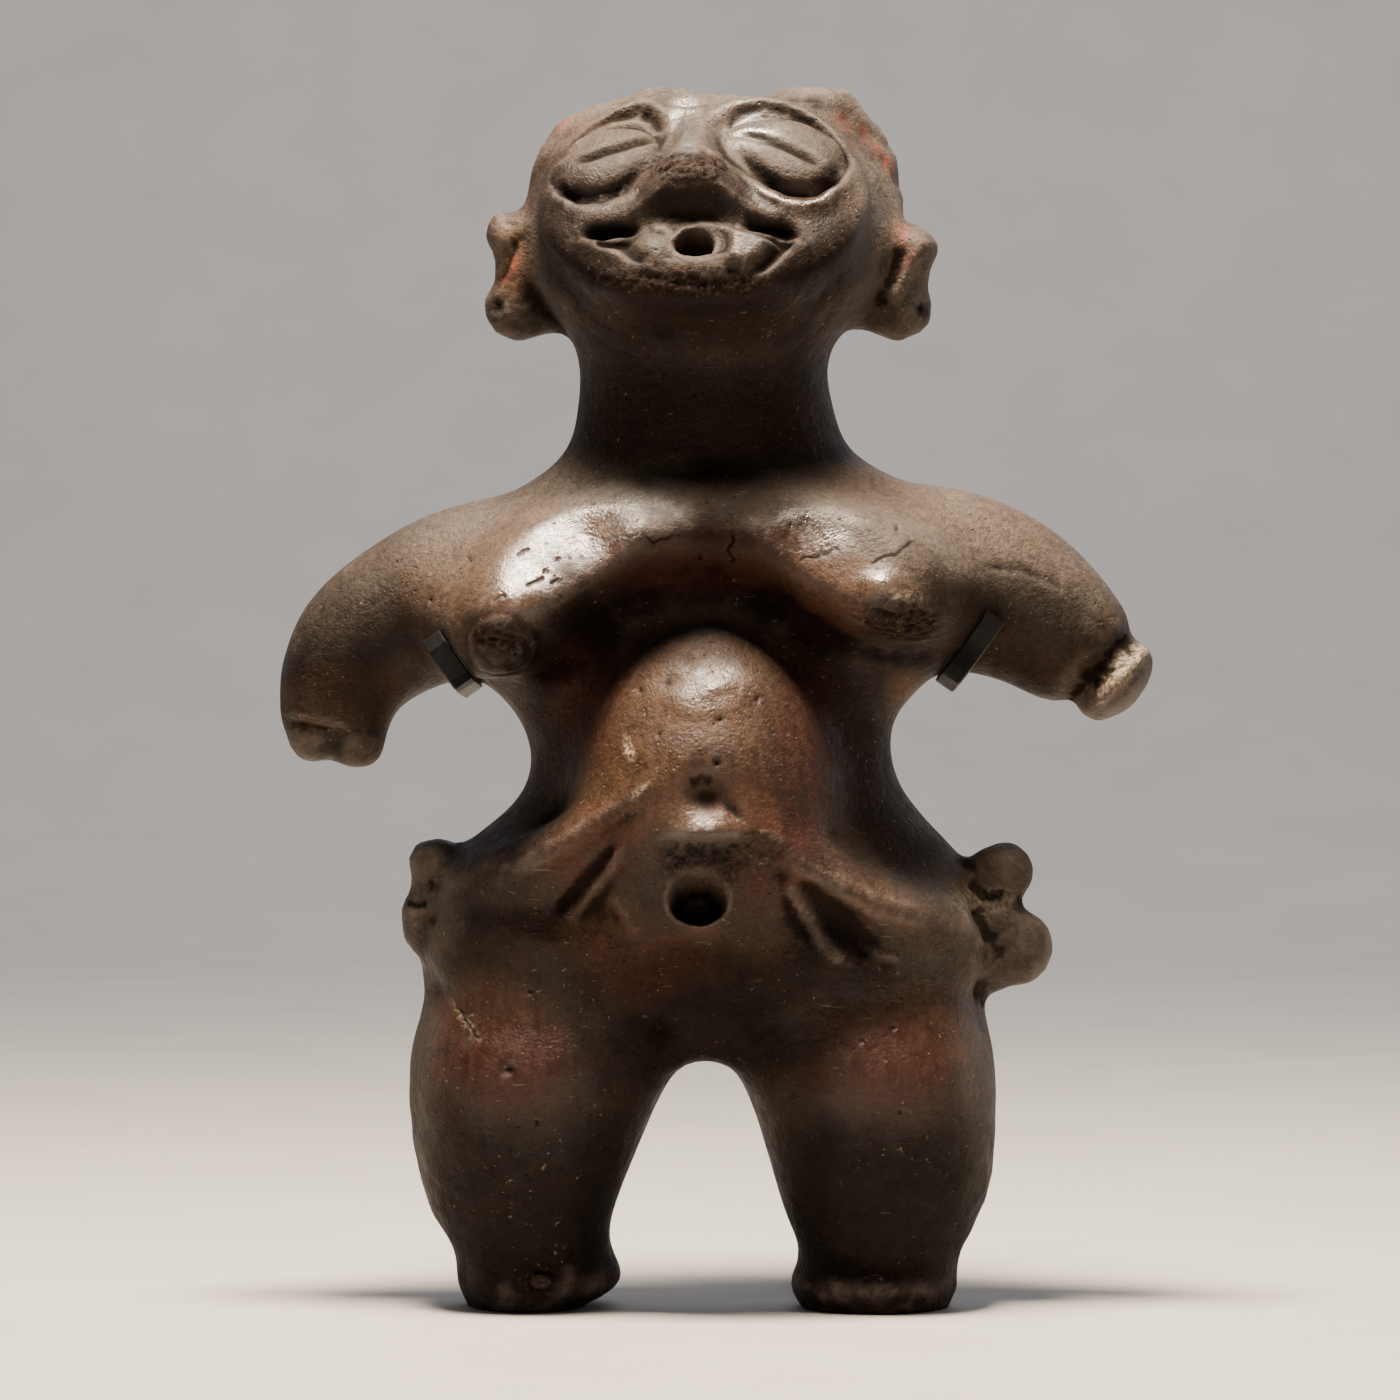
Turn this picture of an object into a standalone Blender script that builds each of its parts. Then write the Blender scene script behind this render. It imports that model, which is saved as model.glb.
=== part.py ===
"""Upturned-face dogu figurine in burnished earthenware, steadied under the arms by a slim display stand.

Metres, +Z up. The figure faces -Y. Its soles and the foot of the stand rest on Z = 0.
The figure's own tables are in steps of a 250th of its height, which UNIT turns into metres. Their
heights start SOLE_LEVEL steps below the soles.
"""

import math

import bmesh
import bpy
from mathutils import Matrix, Vector
from mathutils.bvhtree import BVHTree

# Figure
FIGURE_HEIGHT = 0.250
STEPS_IN_HEIGHT = 250
UNIT = FIGURE_HEIGHT / STEPS_IN_HEIGHT
SOLE_LEVEL = 1.7

# Fineness of the fused clay, and how far its joins are smoothed
CORE_VOXEL = 2.0 * UNIT
CORE_SMOOTHING = 18
SKIN_VOXEL = 1.2 * UNIT
SKIN_SMOOTHING = 3
FIGURE_TRIANGLES = 7400

# Upright rings: height, left side, right side, front, back
TRUNK_RINGS = [
    (52, -30, 28, -12, 18),
    (58, -51, 51, -18, 27),
    (68, -58.5, 57.5, -23, 29),
    (78, -59.5, 57.5, -26, 28),
    (88, -56.5, 55, -28, 26),
    (96, -49, 49.2, -27, 24),
    (104.5, -39, 41.2, -24, 22),
    (112.5, -36, 37.6, -22, 21),
    (121, -38.6, 38, -20, 21.5),
    (126, -43.2, 42.4, -20, 22),
    (131, -46, 45.5, -19, 23),
    (147, -48, 48, -21, 26),
    (159, -43, 46, -21, 26),
    (167, -39.5, 42.5, -20, 24),
    (171.5, -33, 35.5, -19.5, 22.5),
    (176, -28.6, 28.6, -19.5, 21),
    (184, -26.8, 26, -19, 19.5),
    (194, -26.2, 24.4, -19, 19.5),
    (201, -30, 29, -23.5, 21.5),
    (208, -35.5, 35, -26, 24),
    (216, -37.8, 39, -22, 27),
    (226, -38, 40.4, -14, 28.5),
    (234, -36.8, 38, -5, 27.5),
    (240, -34.4, 34.6, 0, 25),
    (245.5, -29.4, 28, 3, 21),
    (248.7, -21, 20, 6, 16),
]
LEFT_LEG_RINGS = [
    (-3, -47, -28.5, -12, 17),
    (1, -48.5, -27, -15, 19),
    (4, -50.6, -20.4, -16.5, 20.5),
    (9, -51.4, -17.4, -17, 21),
    (13.5, -51.4, -19.6, -15, 20),
    (19, -55.8, -19.6, -18, 22),
    (29, -59, -16, -24, 24),
    (41, -60.8, -11, -28, 27),
    (54, -60.6, -5.4, -29, 28.5),
    (66, -57, -9, -21, 25),
]
RIGHT_LEG_RINGS = [
    (-3, 19.6, 47, -16, 13),
    (1.5, 18.6, 49, -18, 15),
    (4.5, 17.4, 50.4, -19.5, 16.5),
    (8, 16.4, 51.2, -20, 17),
    (12, 18.8, 50.4, -17.5, 16),
    (19, 16, 55, -20, 19),
    (29, 12.8, 58, -25, 23),
    (41, 9.4, 58.8, -28.5, 26.5),
    (54, 4.8, 58.2, -29, 28.5),
    (66, 9, 55, -21, 25),
]

# Rolls of clay along a path: across, depth, height, radius sideways, radius in depth
LEFT_ARM = [
    (-22, 1, 150, 18, 17),
    (-46, 1, 147.6, 18.2, 17.5),
    (-60.5, 0, 142.4, 16.2, 16.5),
    (-70.5, -1, 135, 14.9, 15),
    (-75.4, -2, 127, 12.4, 13),
    (-75.2, -3, 120, 11.4, 11.5),
    (-74.8, -3.5, 115, 10.8, 10),
]
RIGHT_ARM = [
    (22, 1, 151, 18, 17),
    (45, 1, 149.8, 19.3, 17.5),
    (60, 0, 146, 17.4, 16.5),
    (71, -1, 138.6, 14.6, 14.5),
    (78.6, -2, 131, 11.8, 12),
]
CREST = [
    (10, 10, 243.6, 5, 6),
    (18, 10, 246.2, 4.6, 6.5),
    (25, 10.5, 246.2, 4.4, 6.5),
    (30.5, 11, 240.6, 4.6, 7),
    (34, 11.5, 233, 5, 7.5),
    (35.6, 11.5, 224, 4.8, 8),
]
CHEST_ROLL = [
    (-51, -8, 140.5, 7, 7),
    (-47, -14, 139.5, 10.5, 12),
    (-40, -18.5, 141.5, 12.4, 15.5),
    (-29, -17, 151, 11.5, 17),
    (-12, -13.5, 158.5, 10.8, 17),
    (5, -13.5, 160.2, 10.8, 17),
    (22, -16, 155.2, 11.6, 17),
    (35, -18.5, 149, 12.4, 16),
    (44, -14, 147, 11, 12),
    (50, -8, 147, 8, 8),
]
LEFT_BELLY_FOLD = [(-8, -31, 108, 5, 6), (-26, -26, 97, 6, 6), (-38, -20, 90.5, 6.5, 6), (-50, -9, 86, 6, 6)]
RIGHT_BELLY_FOLD = [(9, -32, 102, 5, 6), (21, -29, 90, 6, 6), (35, -24, 83, 6.5, 6), (51, -14, 77, 7, 6)]

# Pellets of clay: centre, then radii
BELLY = ((-0.5, -11, 103), (29, 29.5, 39))
HIP_BAND = ((0, -9, 74), (57.5, 21, 16))
BUTTOCKS = [((-27, 13, 66), (24, 19, 20)), ((26, 13, 66), (24, 19, 20))]
LEFT_EAR = [
    ((-40.8, 3, 220), (4.6, 5.5, 4.6)),
    ((-37.5, 3.5, 212), (6, 6, 11)),
    ((-38.2, 4, 204.6), (7.6, 6.5, 6.8)),
    ((-31.5, 4, 204.6), (7, 7, 5)),
]
RIGHT_EAR = [
    ((42, 1, 216.6), (5, 5.5, 5.2)),
    ((39, 2.5, 210.5), (6, 6, 11)),
    ((38.6, 4, 204.6), (7.4, 6.5, 6.8)),
    ((31, 4, 205), (7, 7, 5)),
]
LEFT_HIP_KNOB = [((-55.2, -2, 91.8), (6, 6.5, 5.4)), ((-57.4, -2, 80), (4.8, 6, 8))]
RIGHT_HIP_KNOB = [
    ((59.6, -2, 89.8), (6.6, 6.5, 6.4)),
    ((58.6, -2, 82), (5.5, 5.5, 6)),
    ((63, -2, 74.6), (7.4, 7, 7.6)),
    ((57, -2, 70.5), (6, 6, 5)),
]
FEET = [((-34.4, 3, 8), (17.2, 19.5, 7)), ((33.6, -1.2, 6.8), (17.4, 19.5, 6.4))]
CROWN_LUMP = ((-8.5, 11, 246.8), (9.5, 7, 4))
BREAST_SCAR = ((-41.4, -26, 136.4), (6.4, 7.5, 6.4))
LEFT_HAND = [((-80.2, -3.5, 116.8), (4.8, 8, 4.9)), ((-71, -3.5, 116.6), (6, 8.5, 6))]
RIGHT_HAND = ((82.6, -2.5, 128.6), (6, 10.5, 9.6))
RIGHT_HAND_TURN = math.radians(42)

# Face: a plate tilted back to look up, with its features placed across, up and out of the plate
FACE_CENTRE = (-1.0, -14, 225.2)
FACE_TILT = math.radians(41)
FACE_TURN = math.radians(-4)
FACE_RADII = (33.5, 28.5)
FACE_PROFILE = [(-16, 0.82), (-8, 0.95), (-3, 1.0), (0, 1.0), (2, 0.95), (3.8, 0.8), (5.2, 0.5), (5.8, 0.1)]
EYES = [
    {"across": -16.8, "up": 5.6, "slope": math.radians(24), "radii": (11.4, 7.4)},
    {"across": 13.4, "up": 8.2, "slope": math.radians(-19), "radii": (13.2, 8.2)},
]
EYE_OUT = 4.0
EYE_BULGE = 3.8
LID_SHIFT = 0.45
EYE_RING_GAP = 2.6
EYE_RING_RADIUS = 1.5
NOSE = [
    (-0.8, 18, 3.8, 3, 2.4),
    (-1.4, 10, 5.6, 4.6, 3.8),
    (-2.2, 3, 7.4, 7.4, 5.6),
    (-2.2, -2, 6.8, 9.4, 6.2),
    (-2, -7.6, 4.8, 10.4, 4),
    (-1.8, -11, 4, 10.6, 2),
]
MOUTH = ((1.6, -18.2, 4), (13.8, 6.6, 3.9))
MOUTH_CORNERS = [((-16, -14, 6), (6.6, 2.8, 4.2)), ((17, -12.6, 6), (6.6, 2.8, 4.2))]
MOUTH_HOLE = (-0.2, -18.4)
MOUTH_HOLE_RADIUS = 4.4
MOUTH_HOLE_DEPTH = 9
MOUTH_RIM_OUT = 7

# Opening in the belly: across, height
BELLY_HOLE = (-2.3, 84.8)
BELLY_HOLE_RADIUS = 5
BELLY_HOLE_DEPTH = 14
BELLY_HOLE_DROP = math.radians(20)
BELLY_HOLE_FRONT = -36

# Stand: a cradle whose two hooks pass under the arms, a post behind one leg, and a slim foot
CLAY_GAP = 0.0003
HOOK_WIDTH = 0.0044
HOOK_THICKNESS = 0.001
HOOK_EDGE = 0.0003
HOOK_SLOPE = math.radians(55)
LEFT_HOOK = {"armpit": (-48, 125.3), "outward": -1, "rise": 0.0122}
RIGHT_HOOK = {"armpit": (49.5, 128), "outward": 1, "rise": 0.0145}
ARM_MIDDLE = 14
BAR_HEIGHT = 0.007
BAR_THICKNESS = 0.002
BAR_ABOVE_ARMPITS = 7
POST_RADIUS = 0.003
POST_ACROSS = 33
POST_PROUD = 0.0012
SLIDE_GAP = 0.0003
COLLAR_WALL = 0.0018
COLLAR_HEIGHT = 0.012
FOOT_WIDTH = 0.024
FOOT_LENGTH = 0.072
FOOT_THICKNESS = 0.004
FOOT_CORNER = 0.004
FOOT_HEEL_GAP = 0.0015
SOCKET_WALL = 0.0025
SOCKET_HEIGHT = 0.009
SOCKET_FLOOR = 0.0015

FIRED_CLAY = {"colour": (0.105, 0.062, 0.038), "roughness": 0.42, "metallic": 0.0}
STAND_PAINT = {"colour": (0.022, 0.022, 0.023), "roughness": 0.45, "metallic": 0.0}

RING_SIDES = 40
ROLL_SIDES = 24
STEPS_PER_GAP = 4
ROUND_SIDES = 24
BACK_SAMPLES = 8
HOOK_SAMPLES = 36
HOOK_SWEEP = (math.radians(20), math.radians(190))


def spline(stations, steps, closed=False):
    """Catmull-Rom through rows of numbers, with steps new rows in each gap."""
    rows = [Vector(row) for row in stations]
    if closed:
        rows = [rows[-1], *rows, rows[0], rows[1]]
    else:
        rows = [2 * rows[0] - rows[1], *rows, 2 * rows[-1] - rows[-2]]
    smooth = []
    for before, start, end, after in zip(rows, rows[1:], rows[2:], rows[3:]):
        for step in range(steps):
            t = step / steps
            linear = (end - before) * t
            square = (2 * before - 5 * start + 4 * end - after) * t**2
            cube = (3 * start - 3 * end + after - before) * t**3
            smooth.append(0.5 * (2 * start + linear + square + cube))
    if not closed:
        smooth.append(rows[-2])
    return smooth


def loft(bm, rings, closed=False):
    """Skin through rings of equal count; an open row of rings gets a face on each end."""
    loops = [[bm.verts.new(point) for point in ring] for ring in rings]
    pairs = list(zip(loops, loops[1:]))
    if closed:
        pairs.append((loops[-1], loops[0]))
    for low, high in pairs:
        for i in range(len(low)):
            j = (i + 1) % len(low)
            bm.faces.new((low[i], low[j], high[j], high[i]))
    if not closed:
        bm.faces.new(loops[0][::-1])
        bm.faces.new(loops[-1])


def add_upright(bm, stations):
    """Elliptical rings stacked up Z, from rows of height, left, right, front and back."""
    rings = []
    for height, left, right, front, back in spline(stations, STEPS_PER_GAP):
        middle = Vector(((left + right) / 2, (front + back) / 2, height))
        half = ((right - left) / 2, (back - front) / 2)
        ring = []
        for i in range(RING_SIDES):
            angle = math.tau * i / RING_SIDES
            ring.append(UNIT * (middle + Vector((half[0] * math.cos(angle), half[1] * math.sin(angle), 0))))
        rings.append(ring)
    loft(bm, rings)


def add_roll(bm, stations, outward, frame=Matrix.Identity(4), closed=False):
    """Elliptical rings along a path, from rows of x, y, z, radius sideways and radius outward."""
    rows = spline(stations, STEPS_PER_GAP, closed)
    points = [Vector(row[:3]) for row in rows]
    rings = []
    for i, row in enumerate(rows):
        ahead = points[(i + 1) % len(points)] if closed else points[min(i + 1, len(points) - 1)]
        behind = points[i - 1] if closed else points[max(i - 1, 0)]
        side = (ahead - behind).cross(outward).normalized()
        out = side.cross(ahead - behind).normalized()
        ring = []
        for j in range(ROLL_SIDES):
            angle = math.tau * j / ROLL_SIDES
            local = points[i] + side * row[3] * math.cos(angle) + out * row[4] * math.sin(angle)
            ring.append(frame @ (UNIT * local))
        rings.append(ring)
    loft(bm, rings, closed)


def add_pellet(bm, centre, radii, frame=Matrix.Identity(4), turn=Matrix.Identity(4)):
    """Ellipsoid of clay."""
    place = frame @ Matrix.Translation(UNIT * Vector(centre)) @ turn
    size = Matrix.Diagonal((*[UNIT * radius for radius in radii], 1))
    bmesh.ops.create_uvsphere(bm, u_segments=28, v_segments=18, radius=1, matrix=place @ size)


def face_frame():
    """Frame of the face plate: X across, Y up the plate, Z out of it."""
    lean = Matrix.Rotation(math.pi / 2 - FACE_TILT, 4, "X")
    return Matrix.Translation(UNIT * Vector(FACE_CENTRE)) @ Matrix.Rotation(FACE_TURN, 4, "Z") @ lean


def add_face_plate(bm, frame):
    """Slightly domed oval plate."""
    rings = []
    for out, share in spline(FACE_PROFILE, STEPS_PER_GAP):
        ring = []
        for i in range(RING_SIDES):
            angle = math.tau * i / RING_SIDES
            across = FACE_RADII[0] * share * math.cos(angle)
            up = FACE_RADII[1] * share * math.sin(angle)
            ring.append(frame @ (UNIT * Vector((across, up, out))))
        rings.append(ring)
    loft(bm, rings)


def add_eye(bm, frame, eye):
    """Closed eye of two long lids inside a raised ring."""
    place = frame @ Matrix.Translation(UNIT * Vector((eye["across"], eye["up"], EYE_OUT)))
    place = place @ Matrix.Rotation(eye["slope"], 4, "Z")
    wide, tall = eye["radii"]
    for up in (-LID_SHIFT * tall, LID_SHIFT * tall):
        add_pellet(bm, (0, up, 0), (wide, tall * (1 - LID_SHIFT), EYE_BULGE), place)
    ring = []
    for i in range(12):
        angle = math.tau * i / 12
        across = (wide + EYE_RING_GAP) * math.cos(angle)
        up = (tall + EYE_RING_GAP + 1.5) * math.sin(angle)
        ring.append((across, up, 0, EYE_RING_RADIUS, EYE_RING_RADIUS + 0.8))
    add_roll(bm, ring, Vector((0, 0, 1)), place, closed=True)


def new_object(name, bm, collection):
    """Object from a bmesh, with its faces pointing out."""
    bmesh.ops.recalc_face_normals(bm, faces=bm.faces)
    mesh = bpy.data.meshes.new(name)
    bm.to_mesh(mesh)
    bm.free()
    item = bpy.data.objects.new(name, mesh)
    collection.objects.link(item)
    return item


def evaluated_mesh(item):
    """Mesh of an object with its modifiers applied."""
    return bpy.data.meshes.new_from_object(item.evaluated_get(bpy.context.evaluated_depsgraph_get()))


def settle(item):
    """Turns an object's modifiers into its mesh, and removes what they cut with."""
    mesh = evaluated_mesh(item)
    cutters = [modifier.object for modifier in item.modifiers if modifier.type == "BOOLEAN"]
    item.modifiers.clear()
    item.data = mesh
    for cutter in cutters:
        bpy.data.objects.remove(cutter)


def fuse(item, voxel, smoothing):
    """Modifiers that weld overlapping clay into one skin and soften its joins."""
    remesh = item.modifiers.new("Fuse", "REMESH")
    remesh.mode = "VOXEL"
    remesh.voxel_size = voxel
    smooth = item.modifiers.new("Soften", "SMOOTH")
    smooth.factor = 0.5
    smooth.iterations = smoothing


def make_core(collection):
    """Trunk, limbs, chest and belly, softened together."""
    bm = bmesh.new()
    for stations in (TRUNK_RINGS, LEFT_LEG_RINGS, RIGHT_LEG_RINGS):
        add_upright(bm, stations)
    depth = Vector((0, 1, 0))
    for stations in (LEFT_ARM, RIGHT_ARM, CHEST_ROLL, LEFT_BELLY_FOLD, RIGHT_BELLY_FOLD):
        add_roll(bm, stations, depth)
    for centre, radii in (BELLY, HIP_BAND, *BUTTOCKS):
        add_pellet(bm, centre, radii)
    core = new_object("core", bm, collection)
    fuse(core, CORE_VOXEL, CORE_SMOOTHING)
    settle(core)
    mesh = core.data
    bpy.data.objects.remove(core)
    return mesh


def make_cutter(name, bm, collection):
    """Hidden shape for a Boolean to cut with."""
    cutter = new_object(name, bm, collection)
    cutter.hide_render = True
    cutter.display_type = "WIRE"
    return cutter


def cut(item, cutter):
    """Boolean difference."""
    boolean = item.modifiers.new(cutter.name, "BOOLEAN")
    boolean.operation = "DIFFERENCE"
    boolean.object = cutter


def add_cylinder(bm, radius, low, high, place=Matrix.Identity(4)):
    """Upright round bar between two heights of its own frame."""
    middle = place @ Matrix.Translation((0, 0, (low + high) / 2))
    bmesh.ops.create_cone(
        bm, cap_ends=True, segments=ROUND_SIDES, radius1=radius, radius2=radius, depth=high - low, matrix=middle
    )


def add_box(bm, low, high):
    """Box between two corners."""
    low, high = Vector(low), Vector(high)
    size = Matrix.Diagonal((*(high - low), 1))
    bmesh.ops.create_cube(bm, size=1, matrix=Matrix.Translation((low + high) / 2) @ size)


def shape_figure(figure, frame, cutters):
    """Thins the skin, opens the mouth and the belly, and levels the soles."""
    thin = figure.modifiers.new("Thin", "DECIMATE")
    thin.ratio = FIGURE_TRIANGLES / (2 * len(figure.data.polygons))

    mouth = bmesh.new()
    place = frame @ Matrix.Translation(UNIT * Vector((*MOUTH_HOLE, MOUTH_RIM_OUT - MOUTH_HOLE_DEPTH)))
    add_cylinder(mouth, UNIT * MOUTH_HOLE_RADIUS, 0, UNIT * 2 * MOUTH_HOLE_DEPTH, place)
    for centre, radii in MOUTH_CORNERS:
        add_pellet(mouth, centre, radii, frame)
    cut(figure, make_cutter("mouth_hollows", mouth, cutters))

    belly = bmesh.new()
    inner_end = Vector((BELLY_HOLE[0], BELLY_HOLE_FRONT + BELLY_HOLE_DEPTH, BELLY_HOLE[1]))
    place = Matrix.Translation(UNIT * inner_end) @ Matrix.Rotation(math.pi / 2 + BELLY_HOLE_DROP, 4, "X")
    add_cylinder(belly, UNIT * BELLY_HOLE_RADIUS, 0, UNIT * 2 * BELLY_HOLE_DEPTH, place)
    cut(figure, make_cutter("belly_hole", belly, cutters))

    ground = bmesh.new()
    reach = FIGURE_HEIGHT / 2
    add_box(ground, (-reach, -reach, -reach), (reach, reach, UNIT * SOLE_LEVEL))
    cut(figure, make_cutter("below_soles", ground, cutters))


def make_figure(collection, cutters):
    """The fired-clay figure, one piece."""
    bm = bmesh.new()
    pellets = (*LEFT_EAR, *RIGHT_EAR, *LEFT_HIP_KNOB, *RIGHT_HIP_KNOB, *LEFT_HAND, *FEET, CROWN_LUMP, BREAST_SCAR)
    for centre, radii in pellets:
        add_pellet(bm, centre, radii)
    add_roll(bm, CREST, Vector((0, 1, 0)))
    add_pellet(bm, *RIGHT_HAND, turn=Matrix.Rotation(RIGHT_HAND_TURN, 4, "Y"))
    frame = face_frame()
    add_face_plate(bm, frame)
    for eye in EYES:
        add_eye(bm, frame, eye)
    add_roll(bm, NOSE, Vector((0, 0, 1)), frame)
    add_pellet(bm, *MOUTH, frame)
    core = make_core(collection)
    bm.from_mesh(core)
    bpy.data.meshes.remove(core)
    figure = new_object("figure", bm, collection)
    fuse(figure, SKIN_VOXEL, SKIN_SMOOTHING)
    settle(figure)
    shape_figure(figure, frame, cutters)
    settle(figure)
    figure.data.transform(Matrix.Translation((0, 0, -UNIT * SOLE_LEVEL)))
    return figure


def clay_tree(figure):
    """Tree of the finished figure's surface, to measure it with rays."""
    bm = bmesh.new()
    bm.from_mesh(figure.data)
    tree = BVHTree.FromBMesh(bm)
    bm.free()
    return tree


def furthest_back(tree, across, reach, low, high):
    """Highest Y of the figure in an upright strip, as wide as reach on both sides."""
    furthest = 0
    for i in range(BACK_SAMPLES + 1):
        for j in range(BACK_SAMPLES + 1):
            x = across + reach * (2 * i / BACK_SAMPLES - 1)
            z = low + (high - low) * j / BACK_SAMPLES
            hit = tree.ray_cast(Vector((x, FIGURE_HEIGHT, z)), Vector((0, -1, 0)))[0]
            if hit:
                furthest = max(furthest, hit.y)
    return furthest


def hull_from_start(points):
    """Lower hull of points in the plane of depth and rise, from the first to the last."""
    path = []
    for point in points:
        while len(path) > 1:
            first = path[-1] - path[-2]
            second = point - path[-1]
            if first.x * second.y - first.y * second.x < 0:
                break
            path.pop()
        path.append(point)
    return path


def hook_line(tree, armpit, rise, start_depth, start_rise):
    """Inner line of a hook as (depth, rise) pairs: from the bar, round under the arm, and up its front."""
    sideways = Vector((rise.z, 0, -rise.x))
    middle = armpit + rise * UNIT * ARM_MIDDLE
    points = [Vector((start_depth, start_rise))]
    for i in range(HOOK_SAMPLES + 1):
        angle = HOOK_SWEEP[0] + (HOOK_SWEEP[1] - HOOK_SWEEP[0]) * i / HOOK_SAMPLES
        out = Vector((0, math.cos(angle), 0)) - rise * math.sin(angle)
        radius = 0
        for offset in (-0.5, 0, 0.5):
            origin = middle + sideways * HOOK_WIDTH * offset
            hit = tree.ray_cast(origin, out)[0]
            if hit:
                radius = max(radius, (hit - origin).length)
        spot = Vector((math.cos(angle), -math.sin(angle))) * (radius + CLAY_GAP)
        points.append(spot + Vector((0, UNIT * ARM_MIDDLE)))
    return hull_from_start(points)


def cut_at_rise(path, rise):
    """Path of (depth, rise) pairs, ended where it first climbs to a rise on its front side."""
    for i in range(1, len(path)):
        low, high = path[i - 1], path[i]
        if high.x < 0 and low.y < rise <= high.y:
            share = (rise - low.y) / (high.y - low.y)
            return [*path[:i], low.lerp(high, share)]
    return path


def add_hook(bm, armpit, rise, path):
    """Flat strip carried along a path that lies in the plane of Y and rise."""
    sideways = Vector((rise.z, 0, -rise.x))
    half = HOOK_WIDTH / 2
    corner = half - HOOK_EDGE
    deep = HOOK_THICKNESS - HOOK_EDGE
    section = [
        (-corner, 0),
        (corner, 0),
        (half, HOOK_EDGE),
        (half, deep),
        (corner, HOOK_THICKNESS),
        (-corner, HOOK_THICKNESS),
        (-half, deep),
        (-half, HOOK_EDGE),
    ]
    rings = []
    for i, point in enumerate(path):
        along = (path[min(i + 1, len(path) - 1)] - path[max(i - 1, 0)]).normalized()
        outward = Vector((along.y, -along.x))
        ring = []
        for across, out in section:
            spot = point - outward * out
            ring.append(armpit + Vector((0, spot.x, 0)) + rise * spot.y + sideways * across)
        rings.append(ring)
    loft(bm, rings)


def union(item, name, bm, helpers):
    """Boolean union with a hidden helper shape."""
    helper = make_cutter(name, bm, helpers)
    boolean = item.modifiers.new(name, "BOOLEAN")
    boolean.operation = "UNION"
    boolean.object = helper


def make_cradle(tree, post_depth, bar_middle, collection, helpers):
    """Bar behind the back, two hooks under the arms, and a collar for the post."""
    collar_radius = POST_RADIUS + SLIDE_GAP + COLLAR_WALL
    bar_depth = post_depth - collar_radius - BAR_THICKNESS / 2
    hooks = []
    for hook in (LEFT_HOOK, RIGHT_HOOK):
        across, height = hook["armpit"]
        armpit = UNIT * Vector((across, 0, height))
        rise = Vector((hook["outward"] * math.cos(HOOK_SLOPE), 0, math.sin(HOOK_SLOPE)))
        start_rise = (bar_middle - armpit.z) / rise.z
        line = hook_line(tree, armpit, rise, bar_depth + BAR_THICKNESS / 2, start_rise)
        hooks.append((armpit, rise, cut_at_rise(line, hook["rise"]), armpit.x + rise.x * start_rise))

    bm = bmesh.new()
    ends = [hook[3] for hook in hooks]
    low = (min(ends) - HOOK_WIDTH, bar_depth, bar_middle - BAR_HEIGHT / 2)
    high = (max(ends) + HOOK_WIDTH, bar_depth + BAR_THICKNESS, bar_middle + BAR_HEIGHT / 2)
    add_box(bm, low, high)
    cradle = new_object("cradle", bm, collection)

    for name, (armpit, rise, path, _) in zip(("left_hook", "right_hook"), hooks):
        strip = bmesh.new()
        add_hook(strip, armpit, rise, path)
        union(cradle, name, strip, helpers)

    place = Matrix.Translation((UNIT * POST_ACROSS, post_depth, bar_middle))
    collar = bmesh.new()
    add_cylinder(collar, collar_radius, -COLLAR_HEIGHT / 2, COLLAR_HEIGHT / 2, place)
    union(cradle, "collar", collar, helpers)
    bore = bmesh.new()
    add_cylinder(bore, POST_RADIUS + SLIDE_GAP, -COLLAR_HEIGHT, COLLAR_HEIGHT, place)
    cut(cradle, make_cutter("collar_bore", bore, helpers))
    return cradle


def make_post(post_depth, bar_middle, collection):
    """Round post from the socket of the foot up through the collar."""
    bm = bmesh.new()
    place = Matrix.Translation((UNIT * POST_ACROSS, post_depth, 0))
    add_cylinder(bm, POST_RADIUS, SOCKET_FLOOR + SLIDE_GAP, bar_middle + COLLAR_HEIGHT / 2 + POST_PROUD, place)
    post = new_object("stand_post", bm, collection)
    bevel = post.modifiers.new("Eased ends", "BEVEL")
    bevel.width = HOOK_EDGE
    bevel.segments = 2
    return post


def make_foot(tree, post_depth, collection, helpers):
    """Slim plate behind one heel, with a socket for the post."""
    across = UNIT * POST_ACROSS
    heel = furthest_back(tree, across, FOOT_WIDTH / 2, 0, SOCKET_HEIGHT)
    near = min(heel + FOOT_HEEL_GAP, post_depth - POST_RADIUS - SLIDE_GAP - SOCKET_WALL)
    bm = bmesh.new()
    low = (across - FOOT_WIDTH / 2, near, 0)
    high = (across + FOOT_WIDTH / 2, near + FOOT_LENGTH, FOOT_THICKNESS)
    add_box(bm, low, high)
    upright = [edge for edge in bm.edges if abs(edge.verts[0].co.z - edge.verts[1].co.z) > FOOT_THICKNESS / 2]
    bmesh.ops.bevel(bm, geom=upright, offset=FOOT_CORNER, segments=5, profile=0.5, affect="EDGES")
    foot = new_object("stand_foot", bm, collection)

    place = Matrix.Translation((across, post_depth, 0))
    socket = bmesh.new()
    add_cylinder(socket, POST_RADIUS + SLIDE_GAP + SOCKET_WALL, FOOT_THICKNESS / 2, SOCKET_HEIGHT, place)
    union(foot, "socket", socket, helpers)
    bore = bmesh.new()
    add_cylinder(bore, POST_RADIUS + SLIDE_GAP, SOCKET_FLOOR, 2 * SOCKET_HEIGHT, place)
    cut(foot, make_cutter("socket_bore", bore, helpers))
    return foot


def paint(item, look):
    """Own material for a piece."""
    material = bpy.data.materials.new(item.name)
    material.use_nodes = True
    shader = material.node_tree.nodes["Principled BSDF"]
    shader.inputs["Base Color"].default_value = (*look["colour"], 1)
    shader.inputs["Roughness"].default_value = look["roughness"]
    shader.inputs["Metallic"].default_value = look["metallic"]
    item.data.materials.clear()
    item.data.materials.append(material)


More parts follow.
